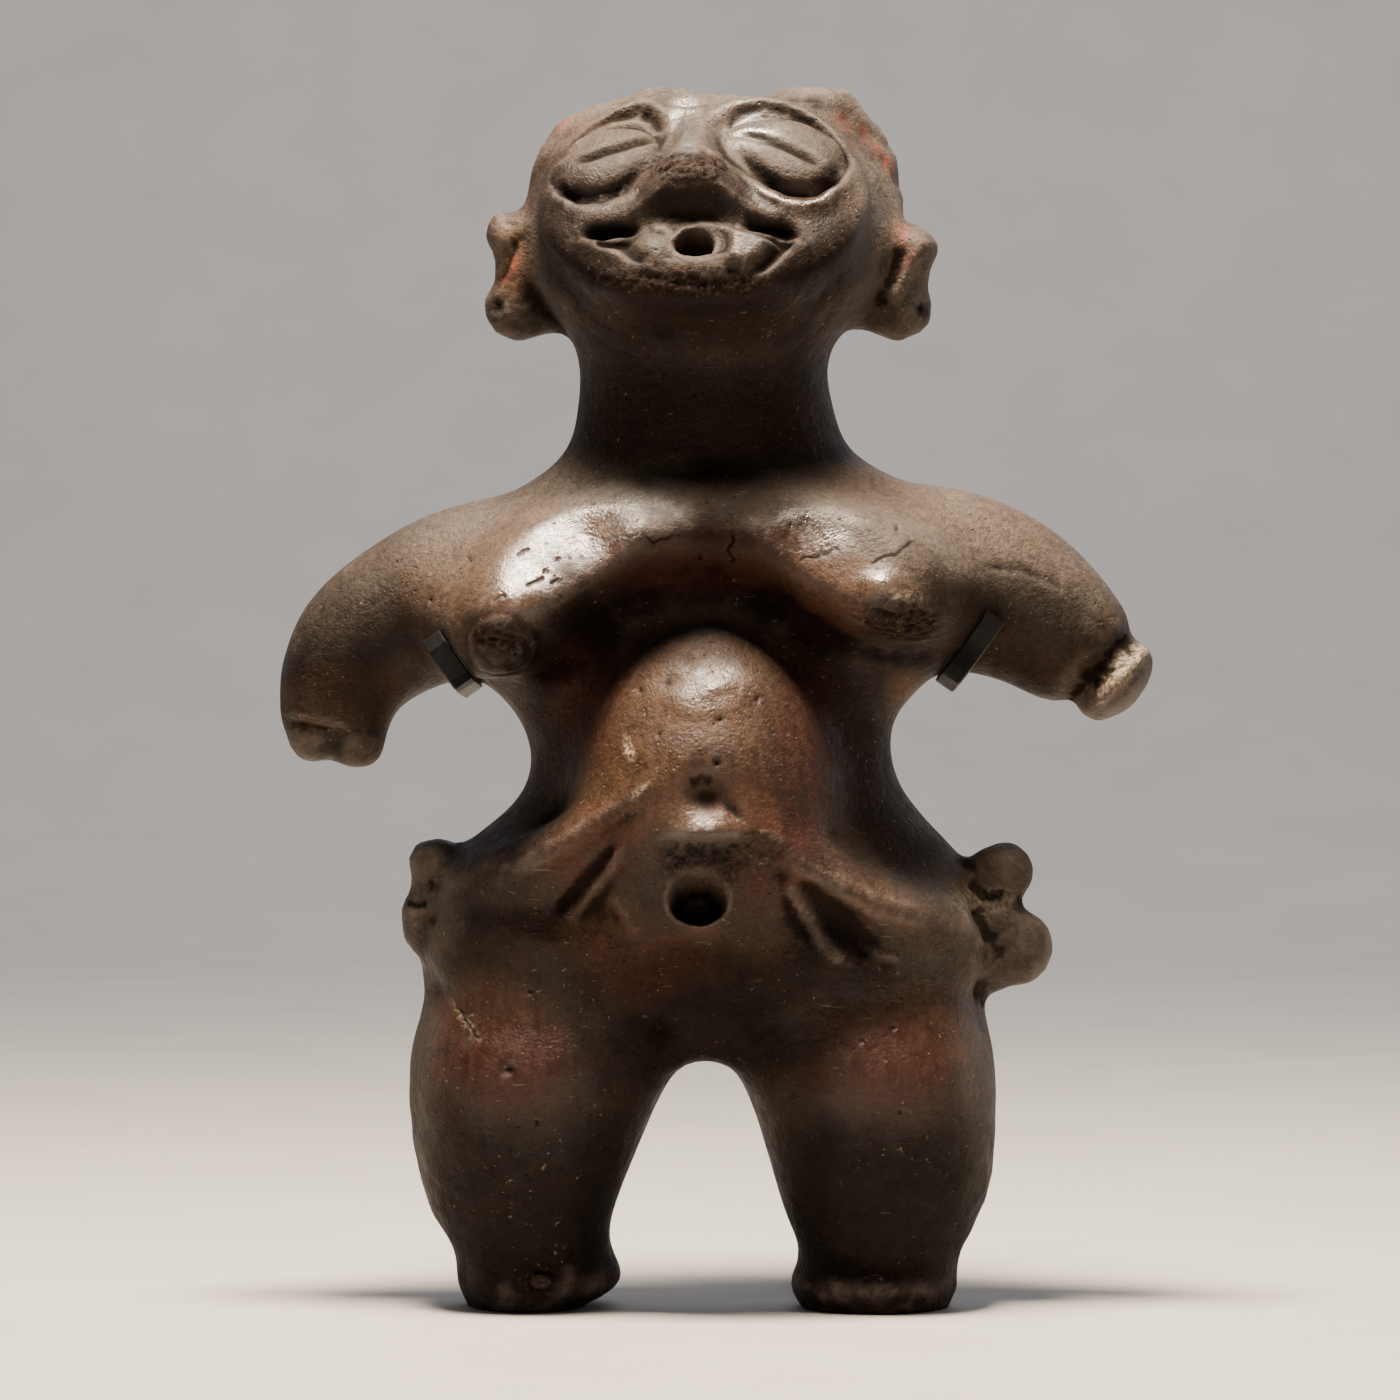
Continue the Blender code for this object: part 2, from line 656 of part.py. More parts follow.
def centre_on_origin(pieces, everything):
    """Parents everything to an empty, moved so that the pieces' footprint is centred on the origin."""
    low = Vector((math.inf, math.inf, math.inf))
    high = -low
    for piece in pieces:
        mesh = evaluated_mesh(piece)
        for vertex in mesh.vertices:
            for axis in range(3):
                low[axis] = min(low[axis], vertex.co[axis])
                high[axis] = max(high[axis], vertex.co[axis])
        bpy.data.meshes.remove(mesh)
    base = bpy.data.objects.new("figurine_and_stand", None)
    bpy.context.scene.collection.objects.link(base)
    for item in everything:
        item.parent = base
    base.location = (-(low.x + high.x) / 2, -(low.y + high.y) / 2, 0)


def main():
    for item in list(bpy.data.objects):
        bpy.data.objects.remove(item)
    collection = bpy.data.collections.new("dogu_figurine")
    helpers = bpy.data.collections.new("cutters")
    for group in (collection, helpers):
        bpy.context.scene.collection.children.link(group)

    figure = make_figure(collection, helpers)
    tree = clay_tree(figure)

    armpits = (LEFT_HOOK["armpit"], RIGHT_HOOK["armpit"])
    bar_middle = UNIT * (max(height for _, height in armpits) + BAR_ABOVE_ARMPITS)
    across = UNIT * POST_ACROSS
    chest_reach = UNIT * (max(abs(side) for side, _ in armpits) + ARM_MIDDLE)
    chest = furthest_back(tree, 0, chest_reach, bar_middle - BAR_HEIGHT / 2, bar_middle + BAR_HEIGHT / 2)
    legs = furthest_back(tree, across, POST_RADIUS, 0, bar_middle)
    collar_radius = POST_RADIUS + SLIDE_GAP + COLLAR_WALL
    post_depth = CLAY_GAP + max(chest + BAR_THICKNESS / 2 + collar_radius, legs + POST_RADIUS)

    cradle = make_cradle(tree, post_depth, bar_middle, collection, helpers)
    post = make_post(post_depth, bar_middle, collection)
    foot = make_foot(tree, post_depth, collection, helpers)

    paint(figure, FIRED_CLAY)
    for piece in (cradle, post, foot):
        paint(piece, STAND_PAINT)
    pieces = (figure, cradle, post, foot)
    centre_on_origin(pieces, (*pieces, *helpers.objects))


main()
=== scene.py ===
import math

import bpy
import numpy as np
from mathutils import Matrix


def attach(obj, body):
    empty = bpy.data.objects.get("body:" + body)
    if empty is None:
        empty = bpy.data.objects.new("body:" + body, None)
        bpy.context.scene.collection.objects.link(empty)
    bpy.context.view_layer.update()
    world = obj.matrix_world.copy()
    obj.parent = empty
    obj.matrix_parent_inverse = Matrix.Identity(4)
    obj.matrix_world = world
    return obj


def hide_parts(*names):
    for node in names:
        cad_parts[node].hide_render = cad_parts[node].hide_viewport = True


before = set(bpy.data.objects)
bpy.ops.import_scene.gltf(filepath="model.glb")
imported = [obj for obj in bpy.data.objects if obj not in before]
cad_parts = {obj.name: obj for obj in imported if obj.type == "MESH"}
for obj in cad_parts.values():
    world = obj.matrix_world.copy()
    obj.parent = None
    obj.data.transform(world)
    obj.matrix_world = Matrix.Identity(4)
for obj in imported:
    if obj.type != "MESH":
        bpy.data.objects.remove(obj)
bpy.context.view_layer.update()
print("frame loaded")

mm = 0.001

# The clay is worked out in millimetres in its own axes: x to the viewer's right, y to the back, z up. Places
# from the front are x and z as this eye sees them, on the upright plane y = 0.
eye = {
    "place": (-1.626, -1200.0, 124.8),
    "sensor": 36.0,
    "fieldWidth": 284.55,     # width of the picture at the plane y = 0
}


def smoothStep(low, high, value):
    # 0 below low, 1 above high, 3t^2 - 2t^3 between
    t = np.clip((value - low) / (high - low), 0, 1)
    return t * t * (3 - 2 * t)


def smoothRows(rows, steps):
    # Catmull-Rom: in each gap, half of 2b + (c-a)t + (2a-5b+4c-d)t^2 + (3b-3c+d-a)t^3
    rows = np.array(rows, float)
    rows = np.concatenate([2 * rows[:1] - rows[1:2], rows, 2 * rows[-1:] - rows[-2:-1]])
    a, b, c, d = rows[:-3, None], rows[1:-2, None], rows[2:-1, None], rows[3:, None]
    t = (np.arange(steps) / steps)[None, :, None]
    gap = 0.5 * (2 * b + (c - a) * t + (2 * a - 5 * b + 4 * c - d) * t**2 + (3 * b - 3 * c + d - a) * t**3)
    return np.concatenate([gap.reshape(-1, rows.shape[1]), rows[-2:-1]])


def gridTriangles(rings, spokes):
    # each cell of a grid that wraps round its spokes becomes two triangles
    i, j = np.meshgrid(np.arange(rings - 1), np.arange(spokes), indexing="ij")
    a, b = i * spokes + j, i * spokes + (j + 1) % spokes
    c, d = b + spokes, a + spokes
    return np.concatenate([np.stack([a, b, c], -1).reshape(-1, 3), np.stack([a, c, d], -1).reshape(-1, 3)])


def closedSurface(rings):
    # a row of rings, drawn together to a point at each end
    ends = rings.mean(axis=1, keepdims=True) * np.ones((1, rings.shape[1], 1))
    rings = np.concatenate([ends[:1], rings, ends[-1:]])
    return rings.reshape(-1, 3), gridTriangles(*rings.shape[:2])


def uprightSurface(rows, steps=4, spokes=48):
    # stacked ellipses: at each height, middle + half width times cosine and half depth times sine
    z, left, right, front, back = smoothRows(rows, steps).T[:, :, None]
    angle = np.linspace(0, math.tau, spokes, endpoint=False)[None]
    x = (left + right) / 2 + (right - left) / 2 * np.cos(angle)
    y = (front + back) / 2 + (back - front) / 2 * np.sin(angle)
    return closedSurface(np.stack([x, y, z + 0 * angle], -1))


def rollSurface(rows, outward=(0, 1, 0), steps=4, spokes=32):
    # an ellipse carried along a path: path + side times cosine + outward times sine
    rows = smoothRows(rows, steps)
    path = rows[:, :3]
    along = np.gradient(path, axis=0)
    side = np.cross(along, outward)
    side /= np.linalg.norm(side, axis=1, keepdims=True)
    out = np.cross(side, along)
    out /= np.linalg.norm(out, axis=1, keepdims=True)
    angle = np.linspace(0, math.tau, spokes, endpoint=False)[None, :, None]
    rings = path[:, None] + side[:, None] * rows[:, 3, None, None] * np.cos(angle)
    return closedSurface(rings + out[:, None] * rows[:, 4, None, None] * np.sin(angle))


def pelletSurface(centre, radii, turn=None, spokes=36, rings=19):
    # an ellipsoid: radii times the sines and cosines of latitude and longitude, turned, at its centre
    latitude = np.linspace(0.02, math.pi - 0.02, rings)[:, None]
    longitude = np.linspace(0, math.tau, spokes, endpoint=False)[None]
    x = np.sin(latitude) * np.cos(longitude)
    y = np.sin(latitude) * np.sin(longitude)
    ball = np.stack([x, y, np.cos(latitude) + 0 * longitude], -1) * np.array(radii)
    if turn is not None:
        ball = ball @ turn.T
    return closedSurface(ball + np.array(centre))


def turnAbout(axis, degrees):
    # matrix of a turn about x, y or z: cosines on the diagonal, minus and plus the sine beside it
    c, s = math.cos(math.radians(degrees)), math.sin(math.radians(degrees))
    i, j = {"x": (1, 2), "y": (2, 0), "z": (0, 1)}[axis]
    turn = np.eye(3)
    turn[i, i] = turn[j, j] = c
    turn[i, j], turn[j, i] = -s, s
    return turn


def newMesh(name, points, triangles):
    # arrays in millimetres into a mesh in metres
    mesh = bpy.data.meshes.new(name)
    mesh.vertices.add(len(points))
    mesh.vertices.foreach_set("co", (points * mm).astype(np.float32).ravel())
    mesh.loops.add(triangles.size)
    mesh.loops.foreach_set("vertex_index", triangles.astype(np.int32).ravel())
    mesh.polygons.add(len(triangles))
    mesh.polygons.foreach_set("loop_start", np.arange(0, triangles.size, 3, dtype=np.int32))
    mesh.update(calc_edges=True)
    return mesh


def newPiece(name, points, triangles):
    # a mesh on an object at the origin, in the scene
    piece = bpy.data.objects.new(name, newMesh(name, points, triangles))
    bpy.context.scene.collection.objects.link(piece)
    piece.data.shade_smooth()
    return piece


def fuseClay(surfaces, grid, rounds):
    # union of overlapping closed surfaces on a grid of cells, then rounds of neighbour averaging
    points = np.concatenate([p for p, _ in surfaces])
    starts = np.cumsum([0] + [len(p) for p, _ in surfaces[:-1]])
    triangles = np.concatenate([t + start for (_, t), start in zip(surfaces, starts)])
    lump = bpy.data.objects.new("lump", newMesh("lump", points, triangles))
    bpy.context.scene.collection.objects.link(lump)
    remesh = lump.modifiers.new("Fuse", "REMESH")
    remesh.mode = "VOXEL"
    remesh.voxel_size = grid * mm
    soften = lump.modifiers.new("Soften", "SMOOTH")
    soften.factor = 0.5
    soften.iterations = rounds
    fused = lump.evaluated_get(bpy.context.evaluated_depsgraph_get()).to_mesh()
    fused.calc_loop_triangles()
    points = np.empty(len(fused.vertices) * 3, np.float32)
    fused.vertices.foreach_get("co", points)
    triangles = np.empty(len(fused.loop_triangles) * 3, np.int32)
    fused.loop_triangles.foreach_get("vertices", triangles)
    bpy.data.objects.remove(lump)
    return points.reshape(-1, 3).astype(float) / mm, triangles.reshape(-1, 3).astype(np.int64)


def gather(count, index, values):
    # at each point, the sum of the values whose index names it
    return np.stack([np.bincount(index, values[:, k], count) for k in range(values.shape[1])], -1)


def crossed(points, triangles):
    # cross product of two sides of each triangle: it stands on the triangle, and its length is twice the area
    a, b, c = (points[triangles[:, k]] for k in range(3))
    return np.cross(b - a, c - a)


def pointNormals(points, triangles):
    # mean of the normals of the triangles round each point, by area
    square = crossed(points, triangles)
    normals = sum(gather(len(points), triangles[:, k], square) for k in range(3))
    return normals / np.maximum(np.linalg.norm(normals, axis=1, keepdims=True), 1e-9)


def edgesOf(points, triangles):
    # the two ends of each edge, with every edge once, and which edge each side of each triangle is
    ends = np.sort(triangles[:, [[0, 1], [1, 2], [2, 0]]].reshape(-1, 2), axis=1)
    keys, sides = np.unique(ends[:, 0] * len(points) + ends[:, 1], return_inverse=True)
    return keys // len(points), keys % len(points), sides.reshape(-1, 3)


def splitLongEdges(points, triangles, wanted):
    # each edge longer than wanted gets a point at its middle, lifted three quarters of the way onto the
    # planes that touch the skin at its ends; the triangles on it are cut in two, three or four
    a, b, sides = edgesOf(points, triangles)
    place = np.full(len(a), -1)
    middle = (points[a] + points[b]) / 2
    long = np.linalg.norm(points[a] - points[b], axis=1) > wanted(middle)
    a, b, middle = a[long], b[long], middle[long]
    normals = pointNormals(points, triangles)
    lift = 0
    for end in (a, b):
        lift = lift - normals[end] * ((middle - points[end]) * normals[end]).sum(1, keepdims=True)
    added = middle + 0.375 * lift   # three quarters of the mean of the two
    place[long] = len(points) + np.arange(len(added))
    marks = place[sides]
    marked = marks >= 0
    total = marked.sum(1)
    parts = [triangles[total == 0]]
    t, m = triangles[total == 3], marks[total == 3]
    parts += [
        np.stack([t[:, 0], m[:, 0], m[:, 2]], 1), np.stack([m[:, 0], t[:, 1], m[:, 1]], 1),
        np.stack([m[:, 2], m[:, 1], t[:, 2]], 1), m,
    ]
    for number in (1, 2):
        here = total == number
        first = marked[here].argmax(1) if number == 1 else (marked[here].argmin(1) + 1) % 3
        order = (first[:, None] + np.arange(3)) % 3
        t = np.take_along_axis(triangles[here], order, 1)
        m = np.take_along_axis(marks[here], order, 1)
        if number == 1:
            parts += [np.stack([t[:, 0], m[:, 0], t[:, 2]], 1), np.stack([m[:, 0], t[:, 1], t[:, 2]], 1)]
        else:
            parts += [
                np.stack([m[:, 0], t[:, 1], m[:, 1]], 1), np.stack([t[:, 0], m[:, 0], m[:, 1]], 1),
                np.stack([t[:, 0], m[:, 1], t[:, 2]], 1),
            ]
    return np.concatenate([points, added]), np.concatenate(parts)


def relax(points, triangles, rounds, amount):
    # each point moves by amount towards the mean of its neighbours
    a, b, _ = edgesOf(points, triangles)
    near = np.bincount(a, minlength=len(points)) + np.bincount(b, minlength=len(points))
    for _ in range(rounds):
        total = gather(len(points), a, points[b]) + gather(len(points), b, points[a])
        points = points + (total / near[:, None] - points) * amount
    return points


def areaShares(points, triangles):
    # skin area that falls to each point: a third of each triangle round it, evened out over its surroundings
    third = np.linalg.norm(crossed(points, triangles), axis=1, keepdims=True) / 6
    area = sum(gather(len(points), triangles[:, k], third) for k in range(3))
    return relax(np.repeat(area, 3, axis=1), triangles, 10, 0.6)[:, 0]


def seenFromFront(points):
    # x and z where the line from the eye to each point meets the upright plane y = 0
    eyeX, eyeY, eyeZ = eye["place"]
    share = eyeY / (eyeY - points[:, 1])
    return np.stack([eyeX + (points[:, 0] - eyeX) * share, eyeZ + (points[:, 2] - eyeZ) * share], 1)


def turned(where, centre, degrees):
    # distances along and across a turned axis from a centre: x cos + z sin, and z cos - x sin
    c, s = math.cos(math.radians(degrees)), math.sin(math.radians(degrees))
    x, z = where[:, 0] - centre[0], where[:, 1] - centre[1]
    return x * c + z * s, -x * s + z * c


def ovalShare(where, centre, radii, turn):
    # distance from the centre of a turned oval as a share of its size there: the root of (along / radius)^2
    # + (across / radius)^2
    along, across = turned(where, centre, turn)
    return np.hypot(along / radii[0], across / radii[1])


def patch(where, centre, radii, turn, edge=1.0):
    # 1 inside an oval, falling smoothly to 0 over the outer share of it
    return smoothStep(1 + 0.35 * edge, 1 - 0.35 * edge, ovalShare(where, centre, radii, turn))


def hump(distance, width):
    # a bell: e to the minus square of distance by width
    return np.exp(-((distance / width) ** 2))


def taper(share, end):
    # 1 along a path, falling smoothly to 0 over this share of it at both ends
    return smoothStep(0, end, share) * smoothStep(1, 1 - end, share)


def fromPath(where, path):
    # distance to the nearest piece of a path, and the share of its length there
    path = np.array(path, float)
    lengths = np.linalg.norm(np.diff(path, axis=0), axis=1)
    starts = np.concatenate([[0], np.cumsum(lengths)])
    best = np.full(len(where), 1e9)
    share = np.zeros(len(where))
    for start, end, length, before in zip(path, path[1:], lengths, starts):
        along = np.clip(((where - start) @ (end - start)) / length**2, 0, 1)
        distance = np.linalg.norm(where - start - along[:, None] * (end - start), axis=1)
        nearer = distance < best
        best = np.where(nearer, distance, best)
        share = np.where(nearer, (before + along * length) / starts[-1], share)
    return best, share


def insideShape(where, corners):
    # distance inwards from the nearest side of a shape without dents, below 0 outside it
    corners = np.array(corners)
    following = np.roll(corners, -1, axis=0)
    area = (corners[:, 0] * following[:, 1] - corners[:, 1] * following[:, 0]).sum()
    inward = np.full(len(where), 1e9)
    for start, end in zip(corners, following):
        side = (end - start) / np.linalg.norm(end - start)
        gap = (where[:, 1] - start[1]) * side[0] - (where[:, 0] - start[0]) * side[1]
        inward = np.minimum(inward, gap * np.sign(area))
    return inward


def blendUp(a, b, soft):
    # the higher of two heights, with the corner between them rounded over a height of soft
    mix = np.clip(0.5 + 0.5 * (a - b) / soft, 0, 1)
    return b + (a - b) * mix + soft * mix * (1 - mix)


def cloudy(points, size, seed=0):
    # smooth noise from -1 to 1: hashed corners of a lattice of this size, blended by 3t^2 - 2t^3; another
    # seed gives another pattern
    cell = points / size + seed * 17.13
    low = np.floor(cell).astype(np.int64)
    t = cell - low
    t = t * t * (3 - 2 * t)
    total = np.zeros(len(points))
    for corner in range(8):
        step = np.array([corner & 1, corner >> 1 & 1, corner >> 2 & 1])
        x, y, z = (low + step).T
        mixed = (x * 73856093 ^ y * 19349663 ^ z * 83492791 ^ seed * 2654435) & 0xFFFFFF
        mixed = (mixed * 1103515245 + 12345) >> 8 & 0xFFFF
        weight = np.prod(np.where(step, t, 1 - t), axis=1)
        total += weight * (mixed / 32767.5 - 1)
    return total


def rugged(points, size, seed=0):
    # three octaves of the smooth noise, each half as wide and half as strong
    return sum(cloudy(points, size / 2**k, seed + k) / 2**k for k in range(3)) / 1.75


# The face is a round plate that looks up. Its places are across and up the plate, from its centre.
face = {
    "centre": (-1.0, -14, 225.2), "tilt": 41, "turn": -4, "radii": (33.5, 28.5),
    # height out of the plate, share of the radii
    "profile": [
        (-16, 0.82), (-8, 0.95), (-3, 1.0), (0, 1.0), (2, 0.95), (3.8, 0.8), (5.2, 0.5), (5.8, 0.1),
    ],
    "brow": {"from": 6, "to": 22, "level": 4.4, "most": 4.0},   # filling of the plate's top, from up to up
    "lids": [
        # middle, half length and half height, slope in degrees, rise
        ((-19.8, 7.5), (11.4, 8.6), 24, 2.3), ((15.8, 9.0), (13.2, 9.5), -20, 2.3),
    ],
    "socket": 0.9,            # fall of the plate round a lid
    "ridges": [
        # path, half width, rise
        ([(-30.2, 3.2), (-29.1, -1.4), (-26.4, -6.3), (-23.2, -8.1), (-19.6, -8.1), (-14, -5.7),
          (-10.9, -0.8), (-8.9, 4.4)], 2.3, 0.9),
        ([(-30.2, 3.2), (-29.4, 12.6), (-26.3, 16.8), (-21.7, 21), (-15.7, 23.3), (-11.2, 22.6),
          (-7.3, 18.2)], 2.6, 1.0),
        ([(3, 7.1), (5.2, 3), (8.8, -0.8), (12.7, -4.5), (17, -7), (21, -7.3), (24.7, -5.4), (28.1, -0.7),
          (30.4, 8)], 1.9, 1.6),
        ([(2.6, 7.1), (-0.9, 13), (0.6, 19.1), (5.5, 22.3), (10.8, 23.2), (15.9, 22.2), (21.1, 19.2),
          (26.4, 15), (30.4, 8)], 2.3, 1.4),
        ([(-10, -14.1), (-7.2, -14), (-4.9, -16.6), (-2.8, -14.4), (0.7, -13.1), (4.9, -13.9)], 1.3, 0.9),
        ([(-6.2, -18.5), (-3.8, -21.4), (-1.3, -22.6), (1.5, -23), (4.2, -21.9), (6, -20.9)], 1.4, 1.4),
        ([(-24.2, -13.1), (-21.2, -15.8), (-18.5, -17.6), (-14.8, -20.6), (-11.3, -22.7)], 1.8, 1.0),
        ([(21.4, -15), (19.6, -17.5), (16.6, -21.5), (11.7, -24.7)], 1.9, 0.9),
        ([(-32.1, -9.9), (-29.6, -15.6), (-26.6, -19.8), (-22.8, -23.2), (-17.2, -27),
          (-11.3, -30.6)], 0.9, 0.6),
    ],
    "grooves": [
        # path, half width, depth
        ([(-27.2, 5.2), (-22.7, 6), (-19.9, 7.1), (-16.7, 8.2), (-13.6, 9.7), (-8.1, 12.8)], 1.2, 1.4),
        ([(4.8, 12.3), (9.7, 11.1), (13.4, 9.8), (16.7, 8), (24.4, 3.3)], 1.2, 1.5),
        ([(-29.9, 5.4), (-29.2, 10.6), (-27.2, 14.4), (-24, 17.3), (-19.5, 19.7), (-14.2, 20.8),
          (-10.7, 19.6)], 1.3, 1.5),
        ([(-13.6, 21.4), (-10.7, 19.3), (-8.8, 15.1)], 1.5, 1.4),
        ([(4.1, 17.1), (7.2, 20.4), (11.6, 21.8), (16.9, 20.6), (21.5, 17.1), (26.1, 12)], 1.0, 0.8),
        ([(-29.3, 2.9), (-27.4, -1.1), (-24.4, -3.4), (-20, -3.8), (-15.8, -2.1), (-12.2, 3)], 1.3, 2.1),
        ([(7.4, 6.9), (10.3, 3.3), (13.6, 0), (17.7, -2.4), (22.1, -2.2), (26, 1.8), (28.6, 8)], 1.3, 2.2),
        ([(17.4, -16.2), (15.5, -18.8), (13.6, -21.4), (10.9, -24.2)], 1.1, 1.8),
        ([(-13.3, -14.9), (-14.4, -17.7), (-12.2, -21), (-9, -22.7)], 1.2, 0.9),
        ([(5.4, -14.9), (5.9, -17.9), (5.6, -21.1)], 0.45, 0.35),
        ([(-24.3, -13.1), (-20.9, -12.7), (-16.3, -12.3), (-10.8, -12.7)], 1.5, 3.2),
        ([(-20.9, -15.5), (-17.3, -16.1), (-12.9, -16)], 1.4, 1.8),
        ([(7.7, -11.9), (11.7, -11.6), (16, -12.2), (20.7, -13.9)], 1.5, 3.2),
        ([(13.7, -14.1), (16.5, -15.5), (18.6, -17.5)], 1.6, 2.0),
    ],
    "nose": {
        # height up the plate, rise, half width, middle; broken off below the eighth row
        "rows": [
            (24, 0.3, 5.0, -1.0), (17, 1.4, 4.0, -1.3), (12, 2.8, 3.8, -1.8), (8, 4.4, 4.4, -1.9),
            (4.5, 6.2, 5.4, -1.9), (1, 7.2, 7.6, -1.8), (-3, 7.9, 8.6, -1.6), (-6.6, 7.8, 9.2, -1.5),
            (-7.8, 6.2, 10.2, -1.6), (-9.2, 3.2, 11.4, -2.0), (-10.8, 0.6, 12.0, -2.2),
            (-12.6, -0.4, 12, -2.2),
        ],
        "from": -12.5, "to": 22, "steepness": 2.8, "blend": 0.9,   # of its sides, and into the plate
    },
    "lobes": [
        # middle, half sizes, turn, rise, squareness
        ((-9.1, -19.5), (5.2, 4.8), -10, 2.2, 2.2), ((0.7, -23), (9.5, 3.0), 0, 1.6, 2.2),
    ],
    "lobeBlend": 0.8,
    "wedge": {
        # corners, width of the slope inside them, rise
        "corners": [(4.9, -13.3), (11.5, -15.1), (17.1, -17.1), (13.7, -21.7), (9.8, -25), (5.2, -23.1)],
        "slope": 2.6, "rise": 2.6,
    },
    "mouth": {"middle": (-0.7, -17.6), "radii": (3.9, 3.2), "depth": 8.0, "ragged": 0.14},
    # rounds of averaging between these shares of the radii: a little on the plate, more round its rim
    "evening": [(2, -1, 1.0), (36, 0.98, 1.24)],
}
faceTurn = turnAbout("z", face["turn"]) @ turnAbout("x", 90 - face["tilt"])


def plateSurface(steps=4, spokes=64):
    # ovals of the face plate, each at its height out of the plate, carried into the tilted frame
    out, share = smoothRows(face["profile"], steps).T[:, :, None]
    angle = np.linspace(0, math.tau, spokes, endpoint=False)[None]
    u = face["radii"][0] * share * np.cos(angle)
    v = face["radii"][1] * share * np.sin(angle)
    local = np.stack([u, v, out + 0 * angle], -1)
    return closedSurface(local @ faceTurn.T + np.array(face["centre"]))


def onFace(points):
    # across, up and out of the face plate, and the share of its radii
    u, v, out = ((points - np.array(face["centre"])) @ faceTurn).T
    return u, v, out, np.hypot(u / face["radii"][0], v / face["radii"][1])


def faceRelief(points):
    # height to add along the plate's own axis: lids as flattened domes, ridges and grooves as bells along
    # paths, nose and lobes blended over them, and the mouth pushed in
    u, v, out, reach = onFace(points)
    where = np.stack([u, v], 1)
    brow = face["brow"]
    fill = np.clip(brow["level"] - out, 0, brow["most"]) * smoothStep(brow["from"], brow["to"], v)
    height = np.zeros(len(points))
    for middle, radii, turn, rise in face["lids"]:
        share = ovalShare(where, middle, radii, turn)
        dome = (rise + face["socket"]) * np.maximum(1 - share**3, 0) ** 0.5
        height += np.where(share < 1, dome, 0) - face["socket"] * smoothStep(1.28, 1.0, share)
    for path, width, rise in face["ridges"]:
        distance, share = fromPath(where, path)
        height += rise * hump(distance, width) * (0.3 + 0.7 * taper(share, 0.1))

    nose = face["nose"]
    rows = smoothRows(nose["rows"][::-1], 8).T
    rise, half, middle = (np.interp(v, rows[0], rows[k]) for k in (1, 2, 3))
    skirt = np.exp(-np.abs((u - middle) / half) ** nose["steepness"])
    bridge = np.where((v < nose["to"]) & (v > nose["from"]), rise * skirt, 0)
    height = np.where(bridge > 0.05, blendUp(height, bridge, nose["blend"]), height)

    for middle, radii, turn, rise, square in face["lobes"]:
        along, across = turned(where, middle, turn)
        share = (np.abs(along / radii[0]) ** square + np.abs(across / radii[1]) ** square) ** (1 / square)
        lump = rise * np.maximum(1 - share**2, 0) ** 0.7
        height = np.where(lump > 0, blendUp(height, lump, face["lobeBlend"]), height)
    wedge = face["wedge"]
    inward = insideShape(where, wedge["corners"])
    height += wedge["rise"] * smoothStep(-0.35 * wedge["slope"], wedge["slope"], inward)
    for path, width, depth in face["grooves"]:
        distance, share = fromPath(where, path)
        height -= depth * hump(distance, width) * (0.2 + 0.8 * taper(share, 0.28))
    mouth = face["mouth"]
    share = ovalShare(where, mouth["middle"], mouth["radii"], 0) + mouth["ragged"] * cloudy(points, 2.4, 5)
    height -= mouth["depth"] * smoothStep(1.1, 0.6, share)

    onPlate = (reach < 1.25) & (out > -6) & (out < 9)
    fill *= smoothStep(1.06, 0.9, reach)
    return np.where(onPlate, (height + fill) * smoothStep(1.25, 1.05, reach), 0)


